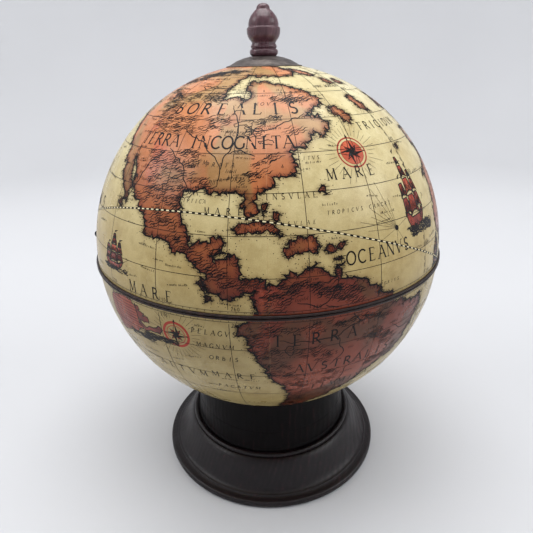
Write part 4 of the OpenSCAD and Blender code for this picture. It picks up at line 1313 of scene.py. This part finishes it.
def liner(node, body, side, flat, name):
    """A moulded liner with a rolled flange that lies in the rim's rabbet."""
    outer, inner = 103.2, 101.8
    edge = RIM_SEAT - 0.7

    def wall(radius, low, high):
        start, end = math.degrees(math.asin(low / radius)), math.degrees(math.asin(high / radius))
        return arc(0, 0, radius, start, end, 40)
    top_face = [(0, flat)] + wall(outer, 1.2, flat)[::-1]
    flange = [(edge, 1.2), (edge, 0.2), (102.1, 0.2)]
    hollow = wall(inner, 0.6, flat - 1.4) + [(0, flat - 1.4)]
    profile = rounded(top_face + flange + hollow, 0.5, 3)
    turned(name, [(r, z * side) for r, z in profile[::side]], M["ivory"], body, [node],
           192, False, CENTRE.z, 40)


def carried_over():
    """CAD nodes whose shape is right get only their finish."""
    finishes = {
        "felt": ("base_felt", "seat_felt"),
        "board": ("upper_shell", "lower_shell", "pivot_block"),
        "nylon": ("pivot_bush",),
        "zinc": ("neck_screws", "pivot_bolt", "pivot_washer", "pivot_nut", "finial_stud",
                 "finial_washer", "finial_nut"),
        "blued": ("hinge_lower_leaf", "hinge_lower_screws", "hinge_pin", "hinge_upper_leaf",
                  "hinge_upper_screws"),
    }
    for finish, nodes in finishes.items():
        for name in nodes:
            mesh = frame["nodes"][name].data
            mesh.materials.clear()
            mesh.materials.append(M[finish])


# ---------------------------------------------------------------- stage, light and camera
def backdrop():
    curve = [(1.2 + 0.9 * math.sin(t), 0.9 - 0.9 * math.cos(t)) for t in np.linspace(0, math.pi / 2, 24)]
    points, faces = lathe([(0, 0), (0.6, 0)] + curve + [(2.1, 2.4)], 96)
    mesh = bpy.data.meshes.new("backdrop")
    mesh.from_pydata(points, [], faces)
    mesh.polygons.foreach_set("use_smooth", [True] * len(mesh.polygons))
    g = Graph("backdrop_paper", Roughness=0.9, Specular_IOR_Level=0.2)
    tone = g.ramp(g.noise(1.5, 2.0), (0.3, rgb(194, 195, 198)), (0.7, rgb(198, 199, 202)))
    mesh.materials.append(g.finish(Base_Color=tone))
    floor = bpy.data.objects.new("backdrop", mesh)
    bpy.context.scene.collection.objects.link(floor)


def soft_light(name, place, target, size, power):
    lamp = bpy.data.lights.new(name, "AREA")
    lamp.shape = "RECTANGLE"
    lamp.size, lamp.size_y = size
    lamp.energy = power
    light = bpy.data.objects.new(name, lamp)
    bpy.context.scene.collection.objects.link(light)
    light.location = place
    light.rotation_euler = (Vector(target) - Vector(place)).to_track_quat("-Z", "Y").to_euler()


def studio():
    soft_light("overhead", (0.0, 0.15, 2.1), (0, 0.1, 0.1), (2.0, 1.8), 54)
    soft_light("left_box", (-1.6, -0.3, 1.5), (0, 0, 0.2), (1.2, 0.9), 12)
    soft_light("right_box", (1.65, -0.2, 1.15), (0, 0, 0.15), (1.1, 0.9), 10)
    world = bpy.data.worlds.new("studio")
    world.use_nodes = True
    world.node_tree.nodes["Background"].inputs["Color"].default_value = rgb(236, 238, 242)
    world.node_tree.nodes["Background"].inputs["Strength"].default_value = 0.13
    bpy.context.scene.world = world
    bpy.context.scene.view_settings.view_transform = "Standard"


EYE_AWAY, EYE_ABOVE = 0.2935, 0.1046  # the camera from the ball's centre, level and upwards


def camera():
    """Stands a little above the ball, close to it, looking down at the middle of the front."""
    yaw, pitch, roll = (math.radians(a) for a in (-0.23 - VIEW_TURN, 23.17, -1.23))
    ahead = Vector((math.sin(yaw) * math.cos(pitch), math.cos(yaw) * math.cos(pitch), -math.sin(pitch)))
    right = ahead.cross(Vector((0, 0, 1))).normalized()
    up = right.cross(ahead)
    tilted_right = right * math.cos(roll) + up * math.sin(roll)
    tilted_up = up * math.cos(roll) - right * math.sin(roll)
    turn = math.radians(VIEW_TURN)
    place = CENTRE + Vector((EYE_AWAY * math.sin(turn), -EYE_AWAY * math.cos(turn), EYE_ABOVE))
    lens = bpy.data.cameras.new("camera")
    lens.lens = 30.6
    lens.clip_start = 0.01
    eye = bpy.data.objects.new("camera", lens)
    eye.matrix_world = Matrix((tilted_right, tilted_up, -ahead)).transposed().to_4x4()
    eye.location = place
    bpy.context.scene.collection.objects.link(eye)
    bpy.context.scene.camera = eye


coasts = draw_map()
map_skin("upper", "lid", 1, 2.6, coasts)
map_skin("lower", "bowl", -1, 6.05, coasts)
for layer in (black, red, pale):
    layer.build()
base_foot()
base_neck()
finial()
polar_cap()
ball_rim("upper", "lid", 1)
ball_rim("lower", "bowl", -1)
liner("lid_liner", "lid", 1, 98.0, "lid_moulding")
liner("bucket_liner", "bowl", -1, 87.6, "bucket_moulding")
carried_over()
backdrop()
studio()
camera()
